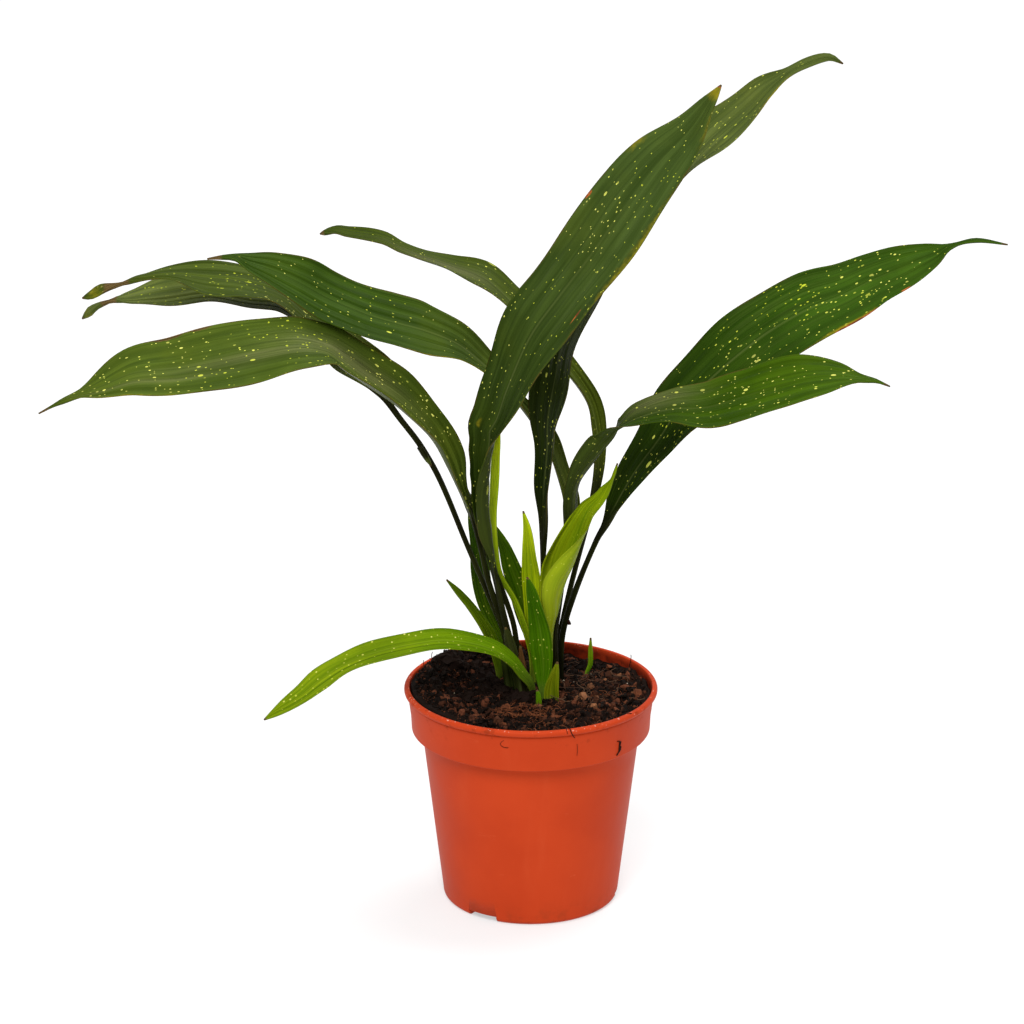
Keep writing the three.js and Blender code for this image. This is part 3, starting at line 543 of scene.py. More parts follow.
def leaf_mesh(name, stations, panels, wave, pleats, seed, rooted=True):
    """A closed blade: upper and lower face, joined along both margins and at both ends."""
    rows, lengths, buried = leaf_rows(stations, rooted)
    across, up = leaf_frames(rows)
    half = np.maximum(rows[:, 3], 0.4)[:, None]
    curl = np.radians(np.maximum(rows[:, 5], 2))[:, None]
    v = np.linspace(-1, 1, panels + 1)[None, :]
    angle = curl * v
    radius = half / curl
    blade = smooth_step(half, STALK_HALF, BLADE_HALF)
    length = lengths[:, None]
    share = np.clip((length - buried) / (lengths[-1] - buried), 0, 1)
    height, wave_length, turn = wave
    ripple = height * blade * np.abs(v) ** 3 * np.sin(length / wave_length * 2 * math.pi + (v > 0) * turn)
    ripple += 0.12 * height * blade * np.abs(v) ** 4 * np.sin(length / 17.0 + seed + 2.1 * (v > 0))
    count, depth = pleats
    swing = v * math.pi * count + 0.5 * np.sin(length / 60 + seed)
    ripple += depth * blade * np.cos(swing) * (1 - v**4) * (0.6 + 0.4 * np.sin(length / 38 + 3 * v + seed))
    middle = np.minimum(STALK, half * 1.5 + 0.2) * (1 - blade) + BLADE_MIDDLE * blade
    thick = (BLADE_EDGE + (middle - BLADE_EDGE) * np.sqrt(1 - v**2)) / 2
    rib = np.exp(-((v * half / 1.0) ** 2)) * blade * (1 - share**2)
    side = radius * np.sin(angle)
    rise = radius * (np.cos(curl) - np.cos(angle)) + ripple

    def face(offset):
        return (rows[:, None, :3] + across[:, None] * (side - np.sin(angle) * offset)[..., None]
                + up[:, None] * (rise + np.cos(angle) * offset)[..., None])

    count_rows, width = len(rows), panels + 1
    points = np.concatenate([face(thick - 0.2 * rib), face(-thick - 0.5 * rib)], axis=1).reshape(-1, 3) * MM
    at = np.arange(count_rows * 2 * width).reshape(count_rows, 2 * width)
    top, bottom = at[:, :width], at[:, width:]

    def strip(a, b, c, d):
        return np.stack([a, b, c, d], axis=-1).reshape(-1, 4)

    faces = np.concatenate([
        strip(top[:-1, :-1], top[:-1, 1:], top[1:, 1:], top[1:, :-1]),
        strip(bottom[:-1, :-1], bottom[1:, :-1], bottom[1:, 1:], bottom[:-1, 1:]),
        strip(top[:-1, 0], top[1:, 0], bottom[1:, 0], bottom[:-1, 0]),
        strip(top[:-1, -1], bottom[:-1, -1], bottom[1:, -1], top[1:, -1]),
        strip(top[0, :-1], bottom[0, :-1], bottom[0, 1:], top[0, 1:]),
        strip(top[-1, :-1], top[-1, 1:], bottom[-1, 1:], bottom[-1, :-1])])
    mesh = bpy.data.meshes.new(name)
    mesh.from_pydata(points.tolist(), [], faces.tolist())
    mesh.polygons.foreach_set("use_smooth", np.ones(len(faces), bool))
    vv = np.concatenate([v, v], axis=1)
    is_upper = np.repeat([1.0, 0.0], width)[None, :]
    put_attribute(mesh, "leaf_place", length * MM + seed, vv * half * MM, 0.0 * vv)
    put_attribute(mesh, "leaf_share", share, np.abs(vv), blade)
    put_attribute(mesh, "leaf_side", is_upper, vv, lengths[-1] - length)
    return mesh


# Of these, pale marks are painted sheen and dark marks are painted shade.
MARK_KINDS = ("scorched", "yellow", "dead", "pale", "dark")


def put_marks(mesh, marks, colours, crowding):
    """The leaf's colours, and soft marks: kind, mm from the tip, reach, place across, reach, strength."""
    side = np.zeros(len(mesh.vertices) * 3, np.float32)
    mesh.attributes["leaf_side"].data.foreach_get("vector", side)
    side = side.reshape(-1, 3)
    amounts = {kind: np.zeros(len(side)) for kind in MARK_KINDS}
    for kind, tip_mm, reach_mm, v, reach_v, strength in marks:
        spot = ((side[:, 2] - tip_mm) / reach_mm) ** 2 + ((side[:, 1] - v) / reach_v) ** 2
        amounts[kind] = np.maximum(amounts[kind], strength * np.exp(-spot))
    put_attribute(mesh, "leaf_marks", amounts["scorched"], amounts["yellow"], amounts["dead"])
    put_attribute(mesh, "leaf_tones", amounts["pale"], amounts["dark"], crowding)
    share = np.zeros(len(side) * 3, np.float32)
    mesh.attributes["leaf_share"].data.foreach_get("vector", share)
    # The green runs from the colour above the stalk to the tip colour; where the stalk end is darker, that
    # is partly painted shade.
    reach = smooth_step(share[::3], 0.25, 0.8)[:, None]
    tint = np.array(paint(*colours[1])) * (1 - reach) + np.array(paint(*colours[0])) * reach
    mesh.attributes.new("leaf_green_and_shade", "FLOAT_COLOR", "POINT").data.foreach_set(
        "color", tint.astype(np.float32).ravel())


def leaf_values(tree, name):
    return split(node(tree, "ShaderNodeAttribute", attribute_name=name).outputs["Vector"])


def ridges(swing, sharpness):
    return calc("POWER", times_plus(calc("SINE", swing), 0.5, 0.5), sharpness)


def speckles(place, cells, shift, share, radius, crowding):
    """How much is covered by dots, which sit in some cells of a pattern that follows the blade."""
    tree = tree_of(place)
    pattern = node(tree, "ShaderNodeTexVoronoi", {
        "Vector": stretched(place, (*cells, 1), (shift, 0, 0)), "Scale": 1.0, "Randomness": 1.0},
        voronoi_dimensions="2D", feature="F1")
    chance = node(tree, "ShaderNodeSeparateColor", {0: pattern.outputs["Color"]}).outputs
    lucky = calc("SUBTRACT", calc("ADD", chance[0], crowding), 1 - share)
    size = times_plus(lucky, 0.55 * radius / share, 0.45 * radius)
    size = times(calc("MINIMUM", size, radius), calc("GREATER_THAN", lucky, 0.0))
    inside = ramp(calc("SUBTRACT", size, pattern.outputs["Distance"]), -0.02, 0.03)
    shown = times(inside, calc("GREATER_THAN", size, 0.0))
    return times(shown, ramp(chance[1], 0.0, 0.8, 0.45, 1.0))


def leaf_skin(name, young):
    """The leaf's finish: veins, creases with painted shade, stripes of partly painted shade and light,
    speckles, margins, marks (the pale ones painted sheen), browned tips and a paler underside.
    """
    material, tree, shader = new_material(name)
    length, width, _ = leaf_values(tree, "leaf_place")
    share, edge, blade = leaf_values(tree, "leaf_share")
    upper, v, _ = leaf_values(tree, "leaf_side")
    scorched, yellowed, dead = leaf_values(tree, "leaf_marks")
    pale, painted_shade_mark, crowded = leaf_values(tree, "leaf_tones")
    green = node(tree, "ShaderNodeAttribute", attribute_name="leaf_green_and_shade").outputs["Color"]
    where = place_of(tree)
    surface = node(tree, "ShaderNodeCombineXYZ", {0: length, 1: width}).outputs[0]
    flow = node(tree, "ShaderNodeCombineXYZ", {0: length, 1: times(v, 0.018)}).outputs[0]

    band = streaks(flow, (9, 200, 1), 2.0)
    streak = streaks(flow, (24, 1300, 1), 3.0, 0.6)
    patch = grain(where, 24.0, 3.0, 0.55)
    wander = streaks(flow, (14, 60, 1), 2.0)
    ragged = streaks(surface, (260, 420, 1), 3.0)
    swing = times_plus(v, (9 if young else 17) * math.pi, times(wander, 6.0))
    vein = times(ridges(swing, 6.0), blade)
    fold = times_plus(v, 6.3 * math.pi, times(wander, 5.0))
    crease = times(ridges(fold, 16.0), ramp(band, 0.35, 0.6))

    def toned(*shares):
        return mix(1.0, green, (*shares, 1), "MULTIPLY")

    dark, light = (toned(0.62, 0.67, 0.58), toned(1.36, 1.3, 1.36)) if not young else (
        toned(0.6, 0.7, 0.5), toned(1.34, 1.22, 1.3))
    # Broad stripes along the blade, between a darker and a lighter copy of its green: partly the leaf's own
    # tone, partly painted shade and light on its pleats.
    colour = mix(ramp(band, 0.34, 0.66), dark, light)
    colour = mix(ramp(streak, 0.42, 0.7, 0, 0.32), colour, dark)
    colour = mix(ramp(patch, 0.45, 0.72, 0, 0.5), colour, toned(1.5, 1.28, 0.8))
    shade = grain(where, 15.0, 4.0, 0.6)
    colour = mix(ramp(shade, 0.52, 0.36, 0, 0.5), colour, toned(0.55, 0.62, 0.5))
    colour = mix(times(vein, 0.3 if young else 0.12), colour, light)
    # Dark lines in the creases: painted shade.
    colour = mix(times(crease, 0.3 if young else 0.45), colour, toned(0.42, 0.5, 0.4))
    below = mix(0.35, colour, paint(124, 138, 34) if young else paint(58, 62, 28))
    colour = mix(upper, below, colour)
    # Pale marks are painted sheen: grey-green patches where the blade would reflect the soft light.
    painted_sheen_colour = mix(ramp(streak, 0.3, 0.65), paint(116, 116, 76), paint(82, 86, 50))
    colour = mix(times(pale, 0.75), colour, painted_sheen_colour)
    # Dark marks are painted shade; no leaf is given one.
    colour = mix(times(painted_shade_mark, 0.8), colour, toned(0.4, 0.42, 0.4))

    rib = times(ramp(calc("ABSOLUTE", width), 0.0002, 0.0009, 1, 0), ramp(share, 0.9, 0.5))
    rib = times(rib, blade)
    rib_colour = paint(150, 166, 60) if young else paint(104, 112, 62)
    colour = mix(times(rib, 0.08 if young else 0.25), colour, rib_colour)

    if young:
        sheath = ramp(share, 0.16, 0.02, 0, 0.35)
        colour = mix(sheath, colour, paint(112, 124, 52))
    else:
        mottled = ramp(streaks(surface, (60, 240, 1), 3.0), 0.35, 0.65)
        stalk = mix(mottled, paint(17, 15, 6), paint(29, 31, 9))
        bare = times(times_plus(blade, -0.92, 0.92), ramp(share, 0.7, 0.5))
        colour = mix(bare, colour, stalk)

    density = grain(where, 34.0, 2.0)
    crowding = times_plus(density, 0.18, times_plus(crowded, 0.1, -0.195))
    if not young:
        layers = (((480, 860), 0.0, 0.075, 0.27), ((300, 600), 3.1, 0.035, 0.24),
                  ((150, 330), 7.3, 0.02, 0.2), ((64, 150), 5.7, 0.012, 0.14))
    else:
        layers = (((640, 760), 0.0, 0.06, 0.27), ((300, 380), 3.1, 0.05, 0.17))
    dots = 0.0
    for cells, shift, chance, radius in layers:
        dots = calc("MAXIMUM", dots, speckles(surface, cells, shift, chance, radius, crowding))
    dots = times(dots, ramp(blade, 0.0, 0.5))
    dots = times(dots, times_plus(upper, 0.5, 0.5))
    cream = mix(ramp(patch, 0.35, 0.65), paint(190, 200, 52), paint(220, 218, 112))
    colour = mix(times(dots, 0.92), colour, cream)

    near_edge = times_plus(ragged, 0.05, calc("SUBTRACT", edge, 0.025))
    rim = times(ramp(near_edge, 0.95, 0.995), blade)
    rim_colour = mix(ramp(grain(where, 60.0, 2.0), 0.42, 0.58), toned(1.7, 1.4, 1.0), paint(92, 70, 30))
    colour = mix(times(rim, 0.25 if young else 0.5), colour, rim_colour)

    blotch = times_plus(ragged, 0.6, -0.3)
    yellow_part = ramp(calc("ADD", yellowed, blotch), 0.2, 0.8)
    colour = mix(times(yellow_part, 0.85), colour, paint(146, 132, 24))
    scorch_part = ramp(calc("ADD", scorched, blotch), 0.35, 0.55)
    scorch_colour = mix(ramp(ragged, 0.42, 0.6), paint(164, 90, 44), paint(104, 54, 30))
    colour = mix(scorch_part, colour, scorch_colour)
    dead_part = ramp(calc("ADD", dead, blotch), 0.35, 0.65)
    dead_colour = mix(ramp(streak, 0.4, 0.6), paint(64, 50, 28), paint(108, 88, 52))
    colour = mix(dead_part, colour, dead_colour)

    feed(shader, {
        "Base Color": colour, "Roughness": times_plus(dead_part, 0.3, ramp(patch, 0.3, 0.7, 0.42, 0.54)),
        "Specular IOR Level": 0.05 if young else 0.07, "Specular Tint": (0.8, 0.9, 0.3, 1.0)})
    relief = times_plus(vein, 0.6, times(streak, 0.5))
    relief = times_plus(crease, -1.2, relief)
    relief = times_plus(dots, -0.2, relief)
    veined = bump(relief, 0.4, 0.0003)
    pleat = calc("SINE", times_plus(v, 5.2 * math.pi, times(wander, 9.0)))
    pleat = times_plus(patch, 1.5, times(pleat, 0.35))
    feed(shader, {"Normal": bump(pleat, 0.5, 0.0016, veined)})
    return material


def grown(leaves, seed_step, seed_first, panels, wave, pleats, marks=None, dried=1.0, rooted=True):
    """Gives the name and the mesh, with its colours and marks, of each leaf of a group in turn."""
    for number, (name, ((*colours, browned, speckled), stations)) in enumerate(leaves.items()):
        mesh = leaf_mesh(name, stations, panels, wave, pleats, seed_step * number + seed_first, rooted)
        own = (marks or {}).get(name, [])
        put_marks(mesh, own + [("dead", 0, browned, 0, 9, dried)], colours, speckled)
        yield name, mesh


def dress_leaf(name, mesh, material):
    leaf = new_object(name + "_blade", mesh, material)
    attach(leaf, "root")
    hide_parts(name)


# The pale marks here are painted sheen.
MATURE_MARKS = {
    "leaf_centre": [
        ("scorched", 85, 3.5, -0.97, 0.05, 0.9), ("scorched", 134, 6, 0.78, 0.025, 0.9),
        ("scorched", 0, 2, 0, 9, 1.0), ("yellow", 4, 5, 0, 9, 0.7), ("yellow", 50, 9, -0.95, 0.14, 0.5),
        ("yellow", 90, 50, 1.0, 0.2, 0.5), ("yellow", 216, 1.6, -0.6, 0.13, 1.0),
        ("yellow", 20, 18, 0.95, 0.3, 0.4),
    ],
    "leaf_left_low": [
        ("dead", 70, 12, 1.0, 0.1, 1.0), ("dead", 88, 9, 1.0, 0.07, 1.0),
        ("pale", 166, 40, 0.2, 0.35, 0.8), ("pale", 120, 50, -0.1, 0.16, 0.6),
        ("pale", 60, 40, -0.4, 0.1, 0.5), ("yellow", 50, 40, -1.0, 0.07, 0.5),
    ],
    "leaf_left_middle": [("dead", 19, 8, 0, 9, 1.0), ("yellow", 7, 6, 0, 9, 0.45)],
    "leaf_left_back": [("dead", 17, 5, 0, 9, 1.0), ("yellow", 4, 4, 0, 9, 0.4)],
    "leaf_upper_left": [("yellow", 150, 60, -1.0, 0.06, 0.6)],
    "leaf_back_arching": [("pale", 70, 26, -0.3, 0.5, 0.8)],
    "leaf_right_high": [
        ("scorched", 90, 14, 1.0, 0.05, 1.0), ("yellow", 95, 18, 0.96, 0.08, 0.7),
        ("scorched", 60, 3, 0.97, 0.05, 1.0), ("pale", 262, 7, 0.9, 0.4, 0.7),
    ],
    "leaf_centre_back": [("yellow", 46, 22, 1.0, 0.2, 0.5), ("scorched", 0, 2, 0, 9, 0.7)],
    "leaf_right_low": [("pale", 128, 22, -0.7, 0.5, 0.8)],
}

mature_skin = leaf_skin("mature_leaf_skin", young=False)
for name, mesh in grown(MATURE_LEAVES, 0.37, 0.1, 44, (0.9, 52.0, 2.0), (7, 0.22), MATURE_MARKS):
    dress_leaf(name, mesh, mature_skin)

# ------------------------------------------------------------------ sheath scales
# The low scale leaves that wrap the stalks where they leave the soil, and one dry bract left
# on a stalk. They are thin, dull green to brown, and are grown on the plant.

# As for the mature leaves, but each starts at its first station instead of deep in the soil.
SHEATHS = {
    "sheath_centre": (((30, 36, 10), (30, 40, 8), 0.4, 0.3), [
        (-5, 3.6, 106, 5.9, 176, 108), (-5.6, 3.4, 114, 5.6, 176, 106), (-7.4, 3.1, 123, 4.9, 174, 102),
        (-9.6, 2.7, 132, 4.3, 172, 98), (-11.6, 2.3, 140, 2.6, 170, 80), (-13, 1.6, 146, 0.4, 170, 60),
    ]),
    "sheath_left": (((46, 64, 10), (34, 48, 8), 0.4, 0.3), [
        (-9.5, 6.6, 106, 5.2, 205, 104), (-10.2, 6.4, 113, 4.9, 205, 102), (-11.4, 6, 121, 4.2, 205, 96),
        (-13, 5.4, 128, 2.4, 205, 80), (-14, 4.8, 133, 0.4, 205, 60),
    ]),
    "sheath_dry": (((96, 50, 28), (62, 30, 16), 1.0, 0.2), [
        (-3.2, 1.6, 106, 2.6, 190, 70), (-3.6, 1.5, 115, 2.6), (-4.2, 1.3, 124, 2.2, 190, 60),
        (-4.9, 1.2, 131, 1.2), (-5.4, 1.2, 136, 0.4),
    ]),
    "bract": (((84, 96, 34), (60, 70, 24), 2, 0.2), [
        (-56.5, 29.4, 234.4, 1.7, 120, 60), (-54, 28, 231, 2.1), (-52, 27, 227.5, 1.5, 120, 50),
        (-50.6, 26, 224.6, 0.4, 120, 40),
    ]),
}

sheath_skin = leaf_skin("sheath_skin", young=False)
for name, mesh in grown(SHEATHS, 0.31, 8.0, 24, (0.0, 40.0, 1.0), (5, 0.05), dried=0.9, rooted=False):
    scale = new_object(name, mesh, sheath_skin)
    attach(scale, "root")

# ------------------------------------------------------------------ young leaves
# The clump's young growth: softer, yellow-green blades, some still rolled round each other,
# and the pointed shoots and split sheaths from which new leaves come.

# As for the mature leaves.
YOUNG_LEAVES = {
    "young_strip": (((168, 192, 24), (120, 146, 14), 0.3, 0.9), [
        (1, 15, 109, 1.6, 20, 50), (0.5, 16, 125, 1.9), (-3, 16, 139, 1.9, 20, 45),
        (-8.5, 17, 154.5, 1.6, 20, 40), (-16, 17, 169, 1.4), (-18.5, 17, 185, 1.5, 25),
        (-19.5, 16, 195.5, 2), (-19.5, 15.5, 205, 2.1), (-19, 14, 215, 2.4),
        (-18.5, 12.5, 225, 2.5, 25, 35), (-18, 11, 235.5, 2.2), (-17, 10.5, 243, 1.4, 25, 30),
        (-16, 10, 249, 0.4),
    ]),
    "young_left_broad": (((52, 84, 3), (62, 90, 4), 0.3, 1.2), [
        (-9, 26, 109, 1.8, -45, 50), (-10, 27, 123, 4, -45, 60), (-17, 28, 137, 6, -40, 55),
        (-23, 28, 151, 6.2, -35, 45), (-26, 28, 168, 6, -33, 40), (-27, 27, 182, 5.4, -36, 35),
        (-29, 27, 195, 4, -38, 30), (-30, 26, 204, 2.4, -40, 25), (-32, 26, 211, 0.4),
    ]),
    "young_pale_middle": (((160, 182, 14), (150, 172, 12), 0.8, 0.9), [
        (4, 21, 109, 1.5, 0, 50), (2, 20, 126, 3.7, 0, 60), (1, 20, 149, 5.2, 18, 50),
        (0, 20, 166, 5.2, 12, 40), (-1, 19, 179, 4, 20, 35), (-2, 18, 193, 2.2, 17, 30), (-4, 18, 203, 0.4),
    ]),
    "young_bright_right": (((116, 138, 8), (128, 146, 14), 0.8, 1.0), [
        (8, 12, 109, 1.8, 60, 60), (8, 11, 124.5, 3.8, 66, 80), (6.5, 9, 142, 7.5, 73, 96),
        (5.5, 8, 152, 12.5, 81, 105), (4.5, 7, 163.5, 16.5, 87, 108), (6, 6, 173.5, 17.5, 84, 118),
        (12.5, 5, 185.5, 16, 67, 127), (20, 4, 196.5, 11.5, 55, 95), (25, 3, 203.5, 8, 45, 62),
        (28.5, 2, 209.5, 6, 42, 47), (34, 1, 215.5, 3.7, 27, 36), (37, 1, 220, 2.9, 28, 30),
        (40.5, 0, 226, 0.9, 25), (42, -1, 230.5, 0.8, 25, 20), (43.5, -1, 235.5, 0.4),
    ]),
    "young_middle": (((60, 90, 4), (66, 98, 5), 0.3, 1.1), [
        (6, 27, 109, 1.6, 12, 50), (3, 26, 125, 4.6, 12, 60), (-3, 26, 144, 5.6, 12, 50),
        (-6, 25, 158, 5.8, 3, 40), (-10, 24, 170, 5, 0, 35), (-13, 24, 180, 3.6, 12, 30),
        (-16, 23, 188, 1.8, 14, 25), (-18, 23, 193, 0.4),
    ]),
    "young_front": (((48, 86, 2), (66, 106, 4), 0.3, 1.1), [
        (6, -3, 109, 1.5, 24, 50), (5.8, -3, 124, 5.4, 20), (5.3, -4, 135, 6.5, 14, 40),
        (4.5, -4, 145, 6, 13, 35), (2.2, -5, 158, 4.1, 14, 30), (0, -6, 169, 2.6, 12, 25),
        (-2, -6, 176, 0.4),
    ]),
    "young_long_left": (((110, 134, 12), (84, 118, 6), 0.8, 1.4), [
        (1.5, 1, 109, 1.6, -42, 60), (0, -3, 117, 2.6, -42, 70), (-4, -7, 124, 3.4, -46, 60),
        (-9, -10, 132, 4.5, -60, 50), (-18, -13, 140, 6, -66, 40), (-30, -16, 145, 6.5, -63, 30),
        (-45, -20, 148, 7, -61, 25), (-62, -24, 147, 7.5, -62, 20), (-80, -28, 144, 7.5, -61),
        (-95, -32, 139, 7, -60), (-107, -35, 132, 7, -49), (-116, -38, 125, 5.5, -48),
        (-125, -40, 119, 3.8, -45), (-135, -43, 113, 0.4),
    ]),
    "young_small_left": (((72, 95, 6), (84, 108, 8), 0.6, 1.0), [
        (-16, 21, 109, 1.4, -11, 50), (-16.5, 20, 117.5, 2.2, -14, 60), (-19.5, 18, 132, 3.5, -27, 45),
        (-24.5, 15, 143, 3, -38, 40), (-31, 13, 153.5, 2.3, -34, 35), (-37, 11, 161.5, 1.7, -18, 30),
        (-43, 9, 169, 0.4),
    ]),
    "shoot_front": (((90, 136, 10), (96, 140, 12), 0.1, 0.3), [
        (4, -18, 109, 1.4, 0, 30), (4, -18.5, 113, 1.4), (3.7, -18.7, 117, 1.1), (3, -19, 119.5, 0.4),
    ]),
    "shoot_split": (((104, 118, 12), (102, 118, 10), 0.1, 0.3), [
        (10.5, -9, 109, 4.6, 15, 60), (10.5, -9, 116, 4.2, 20, 50), (12, -9, 124, 2.4, 20, 45),
        (13.5, -9, 131, 0.4, 20, 40),
    ]),
    "shoot_right": (((120, 152, 18), (96, 140, 12), 0.1, 0.3), [
        (29, 29, 109, 0.9, -10, 40), (31, 28, 115, 1.2), (31, 27, 123, 1.1, -10, 35),
        (31, 26, 130.5, 0.4, -10, 30),
    ]),
}

young_skin = leaf_skin("young_leaf_skin", young=True)
for name, mesh in grown(YOUNG_LEAVES, 0.29, 4.0, 28, (0.3, 40.0, 1.0), (5, 0.08)):
    dress_leaf(name, mesh, young_skin)

# ------------------------------------------------------------------ soil
# Moist peat and bark compost, filled to just under the rim and pressed round the clump. Loose
# crumbs, bark chips, fibres and curly dead roots lie on it, and a few white perlite grains.
SOIL_TOP = 109.0
SOIL_LUMP = 0.9
SOIL_GAP = 0.3            # between the soil and the pot's wall
SOIL_HEAP = 4.6           # how far it is banked up against the wall on the left
SOIL_HEAP_RIGHT = 3.0     # and on the right
SOIL_SPILL = 5.2          # and how far it stands above the rim at the back left
SOIL_SIDES = 144
SOIL_RING_STEP = 0.9
GRIT_FACES = (5, 4)       # segments and rings of one loose lump
CRUMB_FACES = (7, 5)
CLOD_FACES = (14, 9)


def soil_height(x, y):
    """Height of the soil, in mm, as the solid has it, with the finer crumb on top."""
    slope = -0.02 * x - 0.012 * y
    coarse = math.sin(x * 0.31 + y * 0.12) * math.sin(y * 0.37 - x * 0.09 + 1)
    crumbs = math.sin(x * 0.83 + 2 * math.sin(y * 0.41)) * math.sin(y * 0.77 + 2 * math.sin(x * 0.37))
    loose = 1.3 * noise.fractal(Vector((x * 0.2, y * 0.2, 3.1)), 0.6, 2.1, 4)
    away = math.hypot(x, y)
    heap = SOIL_HEAP * smooth_step(away, 34, 58) * smooth_step(-x + 0.2 * y, -12, 34)
    heap += SOIL_HEAP_RIGHT * smooth_step(away, 42, 58) * smooth_step(x, 26, 52)
    spill = SOIL_SPILL * smooth_step(away, 44, 54) * (1 - smooth_step(away, 58, 61.4))
    spill *= math.exp(-((x + 41) / 22) ** 2 - ((y - 38) / 20) ** 2)
    return SOIL_TOP + slope + SOIL_LUMP * (coarse + 0.7 * crumbs) + loose + heap + spill


def soil_solid():
    """The whole filling: the lumpy top, and the sides and foot as the pot's inside gives them."""
    edge = pot_inner_radius(SOIL_TOP) - SOIL_GAP
    step = COLLAR_BOTTOM + WALL + SOIL_GAP
    low = POT_FLOOR + FOOT_ROUND
    rings = [(radius, None) for radius in np.linspace(0, edge, int(edge / SOIL_RING_STEP))[1:]]
    rings += [
        (COLLAR_RADIUS_LOW - WALL - SOIL_GAP, step), (BODY_TOP_RADIUS - WALL - SOIL_GAP, step),
        (pot_inner_radius(low) - SOIL_GAP, low + SOIL_GAP),
        (FOOT_RADIUS - FOOT_ROUND - WALL - SOIL_GAP, POT_FLOOR + SOIL_GAP)]
    points = [(0, 0, soil_height(0, 0))]
    for radius, height in rings:
        for turn in range(SOIL_SIDES):
            x = radius * math.cos(2 * math.pi * turn / SOIL_SIDES)
            y = radius * math.sin(2 * math.pi * turn / SOIL_SIDES)
            points.append((x, y, soil_height(x, y) if height is None else height))
    points.append((0, 0, POT_FLOOR + SOIL_GAP))
    around = [(k, (k + 1) % SOIL_SIDES) for k in range(SOIL_SIDES)]
    starts = range(1, len(points) - 1, SOIL_SIDES)
    faces = [(0, 1 + k, 1 + n) for k, n in around]
    for a, b in zip(starts, starts[1:]):
        faces += [(a + k, b + k, b + n, a + n) for k, n in around]
    faces += [(starts[-1] + k, len(points) - 1, starts[-1] + n) for k, n in around]
    mesh = bpy.data.meshes.new("soil")
    mesh.from_pydata([(x * MM, y * MM, z * MM) for x, y, z in points], [], faces)
    faces_outward(mesh)
    mesh.polygons.foreach_set("use_smooth", np.ones(len(mesh.polygons), bool))
    return mesh


def compost(name, dark, light, tone_name):
    """Crumbly brown matter; tone_name is the attribute that makes one crumb lighter than another."""
    material, tree, shader = new_material(name)
    where = place_of(tree)
    crumb = grain(where, 420.0, 5.0, 0.65)
    clump = grain(where, 90.0, 3.0, 0.6)
    tone = node(tree, "ShaderNodeAttribute", attribute_name=tone_name).outputs["Fac"]
    x, y, _ = split(where)
    # The matter is made lighter towards the right front and darker towards the left back.
    lighter_right_front = ramp(times_plus(y, -0.8, x), -0.02, 0.05, -0.06, 0.03)
    mixed = times_plus(crumb, 0.5, times_plus(clump, 0.35, lighter_right_front))
    mixed = times_plus(tone, 0.7, mixed)
    feed(shader, {
        "Base Color": mix(ramp(mixed, 0.4, 1.3), paint(*dark), paint(*light)),
        "Roughness": ramp(crumb, 0.3, 0.7, 0.7, 0.95), "Specular IOR Level": 0.08,
        "Normal": bump(crumb, 0.7, 0.0006)})
    return material


def random_value(tree, low, high, seed):
    made = node(tree, "FunctionNodeRandomValue", {"Seed": seed}, data_type="FLOAT")
    feed(made, {2: low, 3: high})
    return made.outputs[1]


def random_turn(tree, tilt, seed):
    return node(tree, "FunctionNodeRandomValue", {
        "Seed": seed, 0: (-tilt, -tilt, -math.pi), 1: (tilt, tilt, math.pi)}, data_type="FLOAT_VECTOR")


def scattered(tree, given, thing, turn, shape, tone):
    """The thing on random spots of a surface, turned and sized there, each with a tone of its own."""
    spots = geo(tree, "DistributePointsOnFaces", {
        "Mesh": given["Geometry"], "Density": given["Per square metre"], "Seed": given["Seed"]},
        distribute_method="RANDOM")
    placed = geo(tree, "InstanceOnPoints", {
        "Points": spots, "Instance": thing, "Rotation": turn, "Scale": shape})
    toned = geo(tree, "StoreNamedAttribute", {"Geometry": placed, "Name": "crumb_tone", "Value": tone},
                data_type="FLOAT", domain="INSTANCE")
    return geo(tree, "RealizeInstances", {"Geometry": toned})


def shoved(tree, geometry, scale, detail, centre, reach):
    """Moves the points of a geometry by a noise of their place."""
    noise_map = node(tree, "ShaderNodeTexNoise", {
        "Vector": geo(tree, "InputPosition"), "Scale": scale, "Detail": detail})
    centred = node(tree, "ShaderNodeVectorMath", {0: noise_map.outputs["Color"], 1: centre},
                   operation="SUBTRACT")
    shove = node(tree, "ShaderNodeVectorMath", {0: centred, 1: reach}, operation="MULTIPLY")
    return geo(tree, "SetPosition", {"Geometry": geometry, "Offset": shove})


def crumb_tree(name, material, flatness, tilt, faceting):
    """Scatters lumps over a surface, each turned, sized and knocked out of shape by its place."""
    tree, given, result = geometry_tree(name, {
        "Per square metre": "Float", "Smallest": "Float", "Largest": "Float", "Seed": "Int"})
    lump = geo(tree, "MeshUVSphere", {"Segments": faceting[0], "Rings": faceting[1], "Radius": 0.5})
    size = times_plus(calc("POWER", random_value(tree, 0.0, 1.0, 11), 2.2),
                      calc("SUBTRACT", given["Largest"], given["Smallest"]), given["Smallest"])
    long = times(size, random_value(tree, 1.0, 1.9, 12))
    flat = times(size, random_value(tree, flatness, min(1.0, flatness * 1.8), 13))
    lumps = scattered(tree, given, lump, random_turn(tree, tilt, 14),
                      node(tree, "ShaderNodeCombineXYZ", {0: long, 1: size, 2: flat}),
                      calc("POWER", random_value(tree, 0.0, 1.0, 15), 4.0))
    knocked = shoved(tree, lumps, 820.0, 2.0, (0.5, 0.5, 0.5), times(given["Largest"], 0.8))
    close_tree(tree, result, knocked, material)
    return tree


